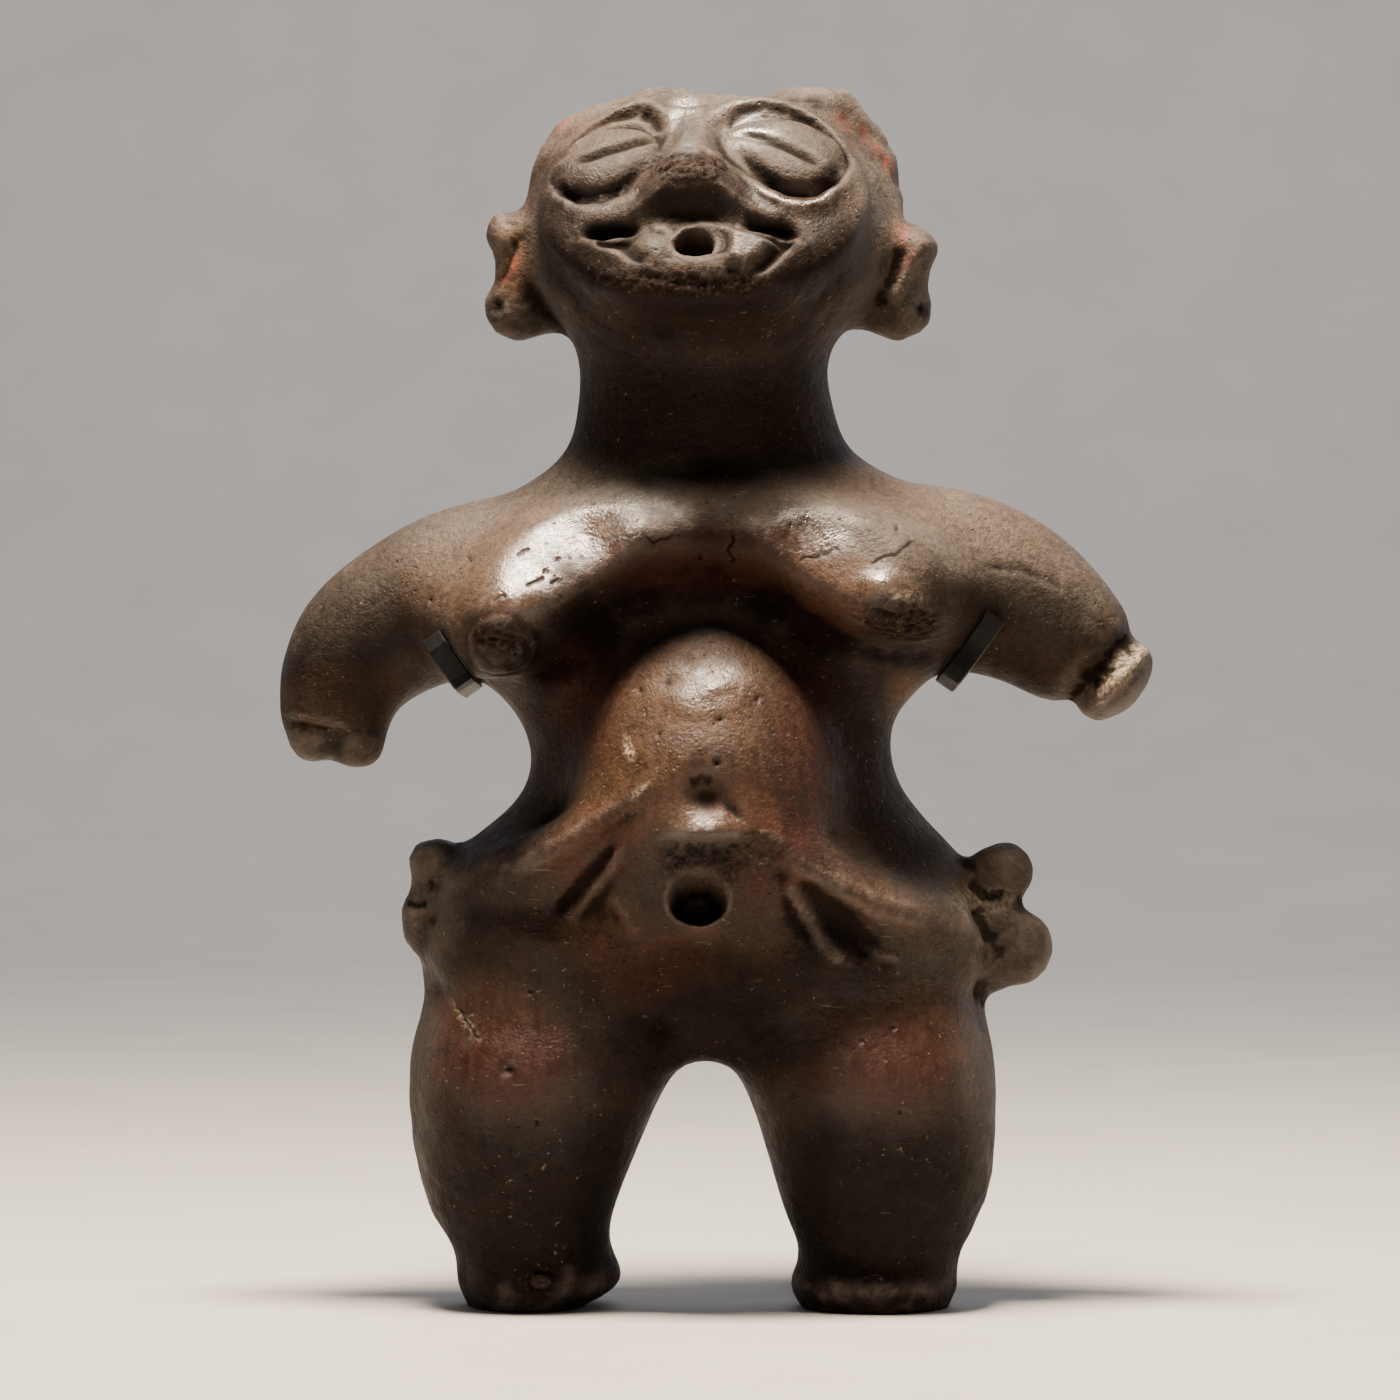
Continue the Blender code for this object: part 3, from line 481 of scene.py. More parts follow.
# The body's relief. All places are from the front.
body = {
    "strokes": [
        # path, half width, rise; a groove when it is negative
        ([(4.7, 158.7), (5.1, 156.9), (4.1, 155.1), (4.9, 153.3), (4.3, 152)], 0.3, -0.3),
        ([(17.7, 152.2), (20.3, 153.9), (22.4, 153.7), (25.2, 155.1), (27.8, 155.5)], 0.28, -0.25),
        ([(32.3, 152), (35.4, 154.1), (37.6, 154.3), (40.7, 156.3), (42.9, 157.5)], 0.26, -0.2),
        ([(-28.3, 157.9), (-26, 158.7), (-23.6, 158.3), (-21.1, 157.1), (-17.5, 157.9), (-13.8, 158.3),
          (-10.8, 156.7), (-7.7, 158.1), (-4.7, 157.9)], 0.28, -0.14),
        ([(-37.2, 147.8), (-35.4, 148.8), (-33.1, 149.6)], 0.32, -0.4),
        ([(-32.3, 148.4), (-30.9, 149.2), (-29.1, 149.4)], 0.3, -0.4),
        ([(-43.5, 144.5), (-42.1, 145.5), (-40.7, 145.3)], 0.3, -0.3),
        ([(-39, 153.9), (-37.6, 155.1), (-36, 155.5)], 0.3, -0.3),
        ([(-52, 62.8), (-50, 61.4), (-48.4, 58.5), (-45.9, 55.3)], 0.3, -0.3),
        ([(-86.2, 122), (-82.9, 121.5), (-77.8, 120.3), (-72.4, 119.3)], 0.7, 0.4),
        ([(-86.2, 120.3), (-81.9, 119.7), (-75.8, 118.5)], 0.8, -0.3),
        ([(86.2, 138.6), (82.1, 133.7), (76.4, 127.6)], 3.2, -0.5),
        ([(89.8, 136), (87, 132.5), (83.3, 128.3), (78, 123.2)], 1.2, 1.5),
        ([(55.3, 152.2), (64.4, 151.2), (73.6, 146.7)], 0.9, -0.3),
        ([(-15.9, 95.9), (-19.5, 91.1), (-24, 85.4), (-29.7, 78.9)], 1.5, 1.0),
        ([(-18.3, 96.3), (-22.4, 91.1), (-26.8, 86.2), (-31.7, 80.9)], 1.5, -1.0),
        ([(-19.9, 86.2), (-17.1, 82.1), (-13.4, 76.4)], 1.4, 0.5),
        ([(15.9, 89), (19.3, 82.5), (23.2, 76), (28, 70.7)], 1.5, 1.1),
        ([(19.1, 89.8), (23.6, 83.1), (28.5, 77.2), (35.8, 72.8)], 2.8, -1.5),
        ([(29.9, 75.6), (35, 72.8), (40, 72)], 1.2, 0.5),
        ([(-8.1, 109.6), (-17.9, 103.3), (-27.6, 96.7), (-41.1, 88.2)], 2.4, 1.0),
        ([(-11.8, 105.7), (-19.9, 99.6), (-28.9, 92.7), (-42.3, 85.4)], 2.8, -0.6),
        ([(7.5, 102), (14.6, 94.7), (21.7, 88.2), (32.9, 83.3), (49.2, 78.9)], 2.8, 1.1),
        ([(8.9, 96.7), (16.7, 88.6), (28.9, 80.7), (45.1, 76)], 3.0, -0.5),
        ([(-4.1, 107.9), (-1.4, 109.3), (1.2, 108.5)], 1.0, -0.7),
        ([(-61.8, 83.7), (-59.6, 83.1), (-56.9, 83.5)], 0.9, -0.9),
        ([(52.8, 88.2), (56.3, 85), (61, 85.6)], 1.0, -1.0),
        ([(53.7, 83.1), (56.1, 79.1), (57.7, 75)], 1.1, -0.8),
        ([(14.6, 61.8), (24.8, 63), (35, 63), (47.2, 64.2), (56.3, 65.4)], 3.0, -0.35),
        ([(42.9, 217.1), (40.7, 212.6), (38.6, 208.1), (37, 204.5)], 1.6, 1.0),
        ([(40, 217.5), (38.4, 212.6), (36.6, 207.7)], 1.4, -0.6),
        ([(-38.6, 218.7), (-39.6, 215.9), (-40.9, 213), (-42.3, 209.3)], 0.9, -0.6),
        ([(-40.7, 222), (-41.7, 217.5), (-43.5, 213.8)], 1.3, 0.7),
        ([(-29.5, 210.2), (-25.2, 204.5), (-19.5, 200), (-11.8, 197)], 0.6, -0.16),
        ([(-30.9, 207.1), (-26, 200.8), (-19.5, 196.3), (-11.8, 193.5)], 0.6, -0.16),
        ([(23.4, 213.4), (18.3, 205.1), (12.2, 199.6)], 0.6, -0.2),
        ([(25.2, 210.2), (19.9, 201.6), (12.6, 196.3)], 0.6, -0.18),
        ([(26.8, 206.9), (22, 199.2), (15.4, 194.3)], 0.6, -0.16),
    ],
    "fine": {"under": 0.6, "wander": 0.45, "size": 1.5},   # strokes this fine wander so far, in bends so long
    "mounds": [
        # centre, radii, turn, rise; a fall when it is negative
        ((-0.2, 105.5), (4.6, 4.8), 0, -2.4), ((-0.4, 99.8), (8.2, 3.4), 0, 1.3),
        ((-0.4, 97.8), (7.6, 2.0), 0, 1.5), ((-0.8, 94.3), (7.5, 3.6), 0, -1.0),
        ((5.3, 102), (2.6, 1.6), -45, -1.0), ((-41.3, 140.7), (8, 7), 30, 2.0),
        ((-11.4, 165.4), (9, 5), 0, -1.8), ((37, 143.1), (8, 6), -30, 1.4), ((35.4, 148), (3.6, 3.0), 0, 1.4),
        ((12.6, 165.4), (9, 4), 0, -1.2), ((-1.2, 113.2), (13, 7), 0, 1.0), ((2.8, 164.8), (9, 10), 0, -1.8),
        ((-7.9, 128.7), (2.4, 1.8), 20, -0.6), ((-3.9, 132.7), (2.2, 1.8), -10, -0.45),
        ((-1.6, 129.9), (2.4, 1.6), 30, 0.5), ((1.6, 127.2), (4.0, 1.8), 20, 0.9),
        ((28, 79.7), (6.5, 4.5), -40, -1.6), ((38.6, 140), (8.5, 3.8), -12, -1.2),
        ((35.4, 142.5), (2.4, 1.0), -10, -2.2),
    ],
    "rim": {"centre": (-2, 84.3), "radii": (6.4, 6.2), "rise": 0.35, "width": 1.4},   # round the belly hole
    "stubs": [
        # centre, radii, turn, rise of a lump broken off flat
        ((-41.7, 135.8), (6.4, 6.2), 0, 0.9), ((-34.1, 6.7), (2.2, 1.4), 0, 0.6),
    ],
    "pits": [
        # centre, radius, depth
        ((-32.9, 151), 0.5, 0.3), ((-30.5, 153.3), 0.5, 0.3), ((38.4, 159.8), 0.6, 0.5),
        ((1.8, 112), 0.8, 0.7), ((-36.2, 65.4), 0.6, 0.5), ((-40.4, 49.6), 1.0, 0.8), ((-34.8, 39), 0.6, 0.4),
        ((37.8, 58.3), 0.6, 0.5), ((31.3, 55.7), 0.6, 0.4), ((39, 41.1), 0.6, 0.4),
        ((-43.5, 205.1), 1.8, 1.0), ((43.9, 204.1), 1.6, 0.8), ((-40.4, 219.9), 3.0, 0.3),
        ((-1.6, 153.3), 0.5, 0.4), ((-48.4, 153.3), 0.6, 0.4), ((-56.5, 145.1), 0.5, 0.4),
        ((-13.8, 37.4), 0.5, 0.4), ((41.5, 142.7), 0.8, 0.6), ((32.5, 140.7), 0.7, 0.5),
        ((-13.8, 126.8), 0.6, 0.4), ((10, 124.8), 0.6, 0.4), ((2.4, 120.7), 0.5, 0.4),
        ((-9.8, 117.7), 0.5, 0.4),
    ],
    "broken": [
        # centre, radii, turn, strength, grain
        ((-3.7, 233.3), (7.8, 3.2), 0, 1.0, 1.5), ((-5.1, 210.4), (17, 3.2), 0, 0.42, 1.3),
        ((-0.4, 91.9), (9.0, 6.0), 0, 0.5, 1.3), ((11, 95.1), (5, 3), -20, 0.3, 1.3),
        ((-41.7, 138.2), (6.0, 3.4), 0, 0.5, 1.4), ((38.6, 141.5), (8.5, 4.0), -12, 0.95, 1.6),
        ((61.4, 89.8), (5.5, 6.0), 0, 0.35, 2.6), ((63, 76), (5.5, 7.0), 0, 0.35, 2.6),
        ((-35, 6.7), (2.5, 1.6), 0, 0.5, 1.4),
    ],
    "weathered": [
        # centre, radii, turn, strength, grain: uneven all the way round, the outline as well
        ((32.1, 245.7), (9, 7), -40, 1.5, 4.6), ((37.4, 233.5), (4.5, 9), 10, 1.2, 4.2),
        ((-9.8, 248.4), (9, 3), 0, 0.8, 4.4), ((22.8, 248.8), (8, 3), 0, 0.8, 4.2),
        ((-30.1, 238.6), (5, 8), -40, 0.5, 3.6), ((60.6, 89.8), (9, 8), 0, 0.8, 5.4),
        ((62.2, 74.8), (9.5, 9.5), 0, 0.8, 5.6), ((-55.3, 92.7), (7, 6), 0, 0.7, 5.0),
        ((-59.6, 79.1), (4.5, 9), 0, 0.8, 5.0), ((84.1, 128.5), (8, 8), 40, 0.4, 3.6),
        ((-40.7, 219.9), (6, 5), 0, 0.6, 3.4), ((43.5, 215.2), (5, 6), 0, 0.6, 3.2),
        ((42.1, 204.1), (6, 6), 0, 0.5, 3.2), ((-41.3, 204.5), (6, 6), 0, 0.5, 3.2),
        ((-34.1, 5.9), (17, 5), 0, 0.5, 4.2), ((33.7, 4.9), (17, 4), 0, 0.5, 4.2),
        ((-75.8, 114.2), (10, 4), 0, 0.4, 3.4), ((55.9, 27.2), (3, 24), -4, 0.35, 4.0),
        ((-57.5, 33.3), (3, 26), 0, 0.35, 4.0),
    ],
    "facets": [
        # centre, radii, turn, depth there, lean back per mm up and per mm across, strength
        ((-32.5, 153.7), (15, 8.5), 36, -30.0, 0.75, 0.06, 0.85),
        ((28, 152.8), (15, 9), -36, -31.0, 0.70, -0.08, 0.55),
        ((0.8, 127.2), (8, 5), 10, -34.0, 0.78, 0, 0.5),
    ],
    "hole": {"centre": (-2.1, 84.8), "radii": (5.9, 5.7), "depth": 12.0, "slope": 20, "ragged": 0.07},
    "ledge": {"centre": (-0.4, 100.4), "radii": (10, 11)},   # place of the navel's ledge, for a fine mesh
}


def flattened(points):
    # each point of a facet moves in depth towards its plane, which is depth there + lean times the way up
    # and across
    where = seenFromFront(points)
    moved = points.copy()
    for centre, radii, turn, depth, up, across, strength in body["facets"]:
        plane = depth + up * (where[:, 1] - centre[1]) + across * (where[:, 0] - centre[0])
        share = strength * patch(where, centre, radii, turn, 1.4) * (points[:, 1] < -6)
        moved[:, 1] += (plane - moved[:, 1]) * share
    return moved


def wandering(points, where):
    # places moved aside by noise, so that fine strokes along them wander
    fine = body["fine"]
    return where + fine["wander"] * np.stack([cloudy(points, fine["size"], seed) for seed in (71, 72)], 1)


def unevenness(points):
    # height of the weathered places: noise inside each oval
    where = seenFromFront(points)
    height = np.zeros(len(points))
    for number, (centre, radii, turn, strength, grain) in enumerate(body["weathered"]):
        height += strength * patch(where, centre, radii, turn) * rugged(points, grain, 60 + number)
    return height


def bodyRelief(points):
    # height to add along the skin's own direction: bells along the strokes and round the mounds, pits and
    # rim, flat stubs, and noise on the broken places
    where = seenFromFront(points)
    bent = wandering(points, where)
    height = np.zeros(len(points))
    for path, width, rise in body["strokes"]:
        distance, share = fromPath(bent if width < body["fine"]["under"] else where, path)
        height += rise * hump(distance, width) * (0.1 + 0.9 * taper(share, 0.2))
    for centre, radii, turn, rise in body["mounds"]:
        along, across = turned(where, centre, turn)
        height += rise * np.exp(-((along / radii[0]) ** 2 + (across / radii[1]) ** 2) * 1.2)
    rim = body["rim"]
    gap = (ovalShare(where, rim["centre"], rim["radii"], 0) - 1) * rim["radii"][0]
    height += rim["rise"] * hump(gap, rim["width"])
    for centre, radii, turn, rise in body["stubs"]:
        height += rise * patch(where, centre, radii, turn, 0.55)
    for centre, radius, depth in body["pits"]:
        height -= depth * hump(np.linalg.norm(where - centre, axis=1), radius)
    for number, (centre, radii, turn, strength, grain) in enumerate(body["broken"]):
        height += strength * patch(where, centre, radii, turn) * rugged(points, grain, 20 + number)
    return height


def holePush(points):
    # way to move each point of the belly hole: its depth inwards, along a line that slopes down
    hole = body["hole"]
    share = ovalShare(seenFromFront(points), hole["centre"], hole["radii"], 0)
    share = share + hole["ragged"] * cloudy(points, 3.5, 8)
    slope = math.radians(hole["slope"])
    push = hole["depth"] * smoothStep(1.08, 0.66, share) * (points[:, 1] < -10)
    return push[:, None] * np.array([0, math.cos(slope), -math.sin(slope)])


# The figure: stacked ovals, rolls and pellets of clay, fused twice into one skin.
clay = {
    "shift": (-1.716, -25.661, -1.7),     # from the clay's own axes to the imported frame
    "coreGrid": 2.0, "coreRounds": 18,    # cells and rounds of smoothing in the first fusing
    "skinGrid": 1.8, "skinRounds": 3,     # and in the second
    "uprights": {
        # height, left, right, front, back
        "trunk": [
            (52, -30, 28, -12, 18), (58, -51, 51, -18, 27), (68, -58.5, 57.5, -23, 29),
            (78, -59.5, 57.5, -26, 28), (88, -56.5, 55, -28, 26), (96, -49, 49.2, -27, 24),
            (104.5, -39, 41.2, -24, 22), (112.5, -36, 37.6, -22, 21), (121, -38.6, 38, -20, 21.5),
            (126, -43.2, 42.4, -20, 22), (131, -46, 45.5, -19, 23), (147, -48, 48, -21, 26),
            (159, -43, 46, -21, 26), (167, -39.5, 42.5, -20, 24), (171.5, -33, 35.5, -19.5, 22.5),
            (176, -28.6, 28.6, -19.5, 21), (184, -26.8, 26, -19, 19.5), (194, -26.2, 24.4, -19, 19.5),
            (201, -30, 29, -23.5, 21.5), (208, -35.5, 35, -26, 24), (216, -37.8, 39, -22, 27),
            (226, -38, 40.4, -14, 28.5), (234, -36.8, 38, -5, 27.5), (240, -34.4, 34.6, 0, 25),
            (245.5, -29.4, 28, 3, 21), (248.7, -21, 20, 6, 16),
        ],
        "leftLeg": [
            (-3, -47, -28.5, -12, 17), (1, -48.5, -27, -15, 19), (4, -50.6, -20.4, -16.5, 20.5),
            (9, -51.4, -17.4, -17, 21), (13.5, -51.4, -19.6, -15, 20), (19, -55.8, -19.6, -18, 22),
            (29, -59, -16, -24, 24), (41, -60.8, -11, -28, 27), (54, -60.6, -5.4, -29, 28.5),
            (66, -57, -9, -21, 25),
        ],
        "rightLeg": [
            (-3, 19.6, 47, -16, 13), (1.5, 18.6, 49, -18, 15), (4.5, 17.4, 50.4, -19.5, 16.5),
            (8, 16.4, 51.2, -20, 17), (12, 18.8, 50.4, -17.5, 16), (19, 16, 55, -20, 19),
            (29, 12.8, 58, -25, 23), (41, 9.4, 58.8, -28.5, 26.5), (54, 4.8, 58.2, -29, 28.5),
            (66, 9, 55, -21, 25),
        ],
    },
    "rolls": {
        # x, y, z, radius sideways, radius in depth
        "leftArm": [
            (-22, 1, 150, 18, 17), (-46, 1, 147.6, 18.2, 17.5), (-60.5, 0, 142.4, 16.2, 16.5),
            (-70.5, -1, 135, 14.9, 15), (-75.4, -2, 127, 12.4, 13), (-75.2, -3, 120, 11.4, 11.5),
            (-74.8, -3.5, 115, 10.8, 10),
        ],
        "rightArm": [
            (22, 1, 151, 18, 17), (45, 1, 149.8, 19.3, 17.5), (60, 0, 146, 17.4, 16.5),
            (71, -1, 138.6, 14.6, 14.5), (78.6, -2, 131, 11.8, 12),
        ],
        "chest": [
            (-51, -8, 140.5, 7, 7), (-47, -14, 139.5, 10.5, 12), (-40, -18.5, 141.5, 12.4, 15.5),
            (-29, -17, 151, 11.5, 17), (-12, -13.5, 158.5, 10.8, 17), (5, -13.5, 160.2, 10.8, 17),
            (22, -16, 155.2, 11.6, 17), (35, -18.5, 149, 12.4, 16), (44, -14, 147, 11, 12),
            (50, -8, 147, 8, 8),
        ],
        "leftShoulder": [
            (-62, -4, 141, 11, 11), (-50, -8, 144.5, 10.5, 12.5), (-36, -12, 152, 9.5, 12),
            (-22, -11, 160, 8, 10),
        ],
        "rightShoulder": [
            (62, -3, 146, 10, 10), (50, -6, 151, 10, 11), (36, -10, 156.5, 9, 11), (22, -11, 161, 8, 10),
        ],
        "leftFold": [
            (-8, -31, 108, 5, 6), (-26, -26, 97, 6, 6), (-38, -20, 90.5, 6.5, 6), (-50, -9, 86, 6, 6),
        ],
        "rightFold": [
            (9, -32, 102, 5, 6), (21, -29, 90, 6, 6), (35, -24, 83, 6.5, 6), (51, -14, 77, 7, 6),
        ],
    },
    "corePellets": [
        # centre, radii
        ((-0.5, -11, 103), (29, 29.5, 39)), ((0, -9, 74), (57.5, 21, 16)), ((-27, 13, 66), (24, 19, 20)),
        ((26, 13, 66), (24, 19, 20)), ((-30, -11, 63), (23, 15.5, 15)), ((30, -11, 62), (23, 15.5, 15)),
    ],
    "skinRolls": {
        "crest": [
            (10, 10, 243.6, 5, 6), (18, 10, 246.2, 4.6, 6.5), (25, 10.5, 246.2, 4.4, 6.5),
            (30.5, 11, 240.6, 4.6, 7), (34, 11.5, 233, 5, 7.5), (35.6, 11.5, 224, 4.8, 8),
        ],
        "crown": [
            (4, 7, 240.5, 6, 6), (14, 6, 241, 5.6, 6), (22, 5, 238.6, 5.6, 6), (28, 3.4, 233.4, 5.6, 6),
            (32, 1.4, 226, 5.4, 6), (33, 0, 218, 5, 6),
        ],
    },
    "skinPellets": [
        ((-40.8, 3, 220), (4.6, 5.5, 4.6)), ((-37.5, 3.5, 212), (6, 6, 11)),
        ((-38.2, 4, 204.6), (7.6, 6.5, 6.8)), ((-31.5, 4, 204.6), (7, 7, 5)), ((42, 1, 216.6), (5, 5.5, 5.2)),
        ((39, 2.5, 210.5), (6, 6, 11)), ((38.6, 4, 204.6), (7.4, 6.5, 6.8)), ((31, 4, 205), (7, 7, 5)),
        ((-55.2, -2, 91.8), (6, 6.5, 5.4)), ((-57.4, -2, 80), (4.8, 6, 8)),
        ((59.6, -2, 89.8), (6.6, 6.5, 6.4)), ((58.6, -2, 82), (5.5, 5.5, 6)), ((63, -2, 74.6), (7.4, 7, 7.6)),
        ((57, -2, 70.5), (6, 6, 5)), ((-34.4, 3, 8), (17.2, 19.5, 7)), ((33.6, -1.2, 6.8), (17.4, 19.5, 6.4)),
        ((-8.5, 11, 246.8), (9.5, 7, 4)), ((-41.4, -26, 136.4), (6.4, 7.5, 6.4)),
        ((-80.2, -3.5, 116.8), (4.8, 8, 4.9)), ((-71, -3.5, 116.6), (6, 8.5, 6)),
    ],
    "rightHand": {"centre": (82.6, -2.5, 128.6), "radii": (6, 10.5, 9.6), "turn": 42},
    "edges": {
        # longest edge: everywhere, on the trunk's front, on the plate, round the belly hole, on stubs
        "all": 4.0, "trunk": 1.9, "plate": 0.58, "hole": 0.7, "stub": 0.7,
        "stroke": (0.45, 1.3),      # least and most; between them it is the stroke's half width
        "grain": 0.5, "pit": 0.7,   # share of a broken place's grain, and of a pit's radius
        "trunkHalf": 60, "trunkFrom": 62, "trunkTo": 172, "holeReach": 9,
    },
    "splits": 3,                    # rounds of splitting long edges
    "dents": (17, 0.22), "ripple": (4, 0.06),   # width and height of what the maker's fingers left
}


def wantedLength(middle):
    # longest edge allowed at each place, the least that any feature there asks: fine on the face and the
    # breaks, coarse at the back
    edges = clay["edges"]
    where = seenFromFront(middle)
    x, z = where.T
    out, reach = onFace(middle)[2:]
    front = middle[:, 1] < 6
    length = np.full(len(middle), edges["all"])
    trunk = (np.abs(x) < edges["trunkHalf"]) & (z > edges["trunkFrom"]) & (z < edges["trunkTo"])
    trunk &= front & (middle[:, 1] < -10)
    length = np.where(trunk, edges["trunk"], length)
    length = np.where((reach < 1.08) & (out > -2), edges["plate"], length)
    hole = np.linalg.norm(where - body["hole"]["centre"], axis=1) < edges["holeReach"]
    hole |= patch(where, body["ledge"]["centre"], body["ledge"]["radii"], 0) > 0
    length = np.where(front & hole, edges["hole"], length)
    for centre, radii, turn, strength, grain in body["broken"]:
        near = front & (patch(where, centre, np.array(radii) + 1, turn) > 0)
        length = np.where(near, np.minimum(length, grain * edges["grain"]), length)
    for path, width, rise in body["strokes"]:
        near = front & (fromPath(where, path)[0] < 2 * width + 0.3)
        length = np.where(near, np.minimum(length, np.clip(width, *edges["stroke"])), length)
    for centre, radii, turn, rise in body["stubs"]:
        near = front & (patch(where, centre, radii, turn, 0.8) > 0)
        length = np.where(near, np.minimum(length, edges["stub"]), length)
    for centre, radius, depth in body["pits"]:
        near = front & (np.linalg.norm(where - centre, axis=1) < 2 * radius)
        length = np.where(near, np.minimum(length, edges["pit"] * radius), length)
    return length


core = [uprightSurface(rows) for rows in clay["uprights"].values()]
core += [rollSurface(rows) for rows in clay["rolls"].values()]
core += [pelletSurface(centre, radii) for centre, radii in clay["corePellets"]]
points, triangles = fuseClay(core, clay["coreGrid"], clay["coreRounds"])
print("core fused:", len(triangles), "triangles")

hand = clay["rightHand"]
skin = [(points, triangles)] + [rollSurface(rows) for rows in clay["skinRolls"].values()] + [plateSurface()]
skin += [pelletSurface(centre, radii) for centre, radii in clay["skinPellets"]]
skin += [pelletSurface(hand["centre"], hand["radii"], turnAbout("y", hand["turn"]))]
points, triangles = fuseClay(skin, clay["skinGrid"], clay["skinRounds"])
print("skin fused:", len(triangles), "triangles")

for _ in range(clay["splits"]):
    points, triangles = splitLongEdges(points, triangles, wantedLength)
points = relax(points, triangles, 2, 0.4)
print("skin refined:", len(triangles), "triangles")

dents, ripple = clay["dents"], clay["ripple"]
height = dents[1] * rugged(points, dents[0], 3) + ripple[1] * cloudy(points, ripple[0], 9)
points = points + height[:, None] * pointNormals(points, triangles)
points = points + faceRelief(points)[:, None] * faceTurn[:, 2]
out, reach = onFace(points)[2:]
for rounds, low, high in face["evening"]:
    share = smoothStep(low - 0.06, low + 0.04, reach) * smoothStep(high + 0.06, high - 0.04, reach)
    share = share * smoothStep(-14, -8, out) * (out < 16)
    points = points + (relax(points, triangles, rounds, 0.5) - points) * share[:, None]
points = flattened(points)
normals = pointNormals(points, triangles)
facing = smoothStep(0.05, 0.4, -normals[:, 1]) * smoothStep(14, 4, points[:, 1])   # 1 in front, 0 behind
points = points + unevenness(points)[:, None] * normals
height = bodyRelief(points) * facing
fallen = np.minimum(height, 0)
points = points + height[:, None] * normals
points = points + holePush(points)
points[:, 2] = np.maximum(points[:, 2], -clay["shift"][2])   # the soles stand flat
print("relief shaped")

figure = newPiece("clay_figure", points + np.array(clay["shift"]), triangles)
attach(figure, "root")
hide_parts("figure")

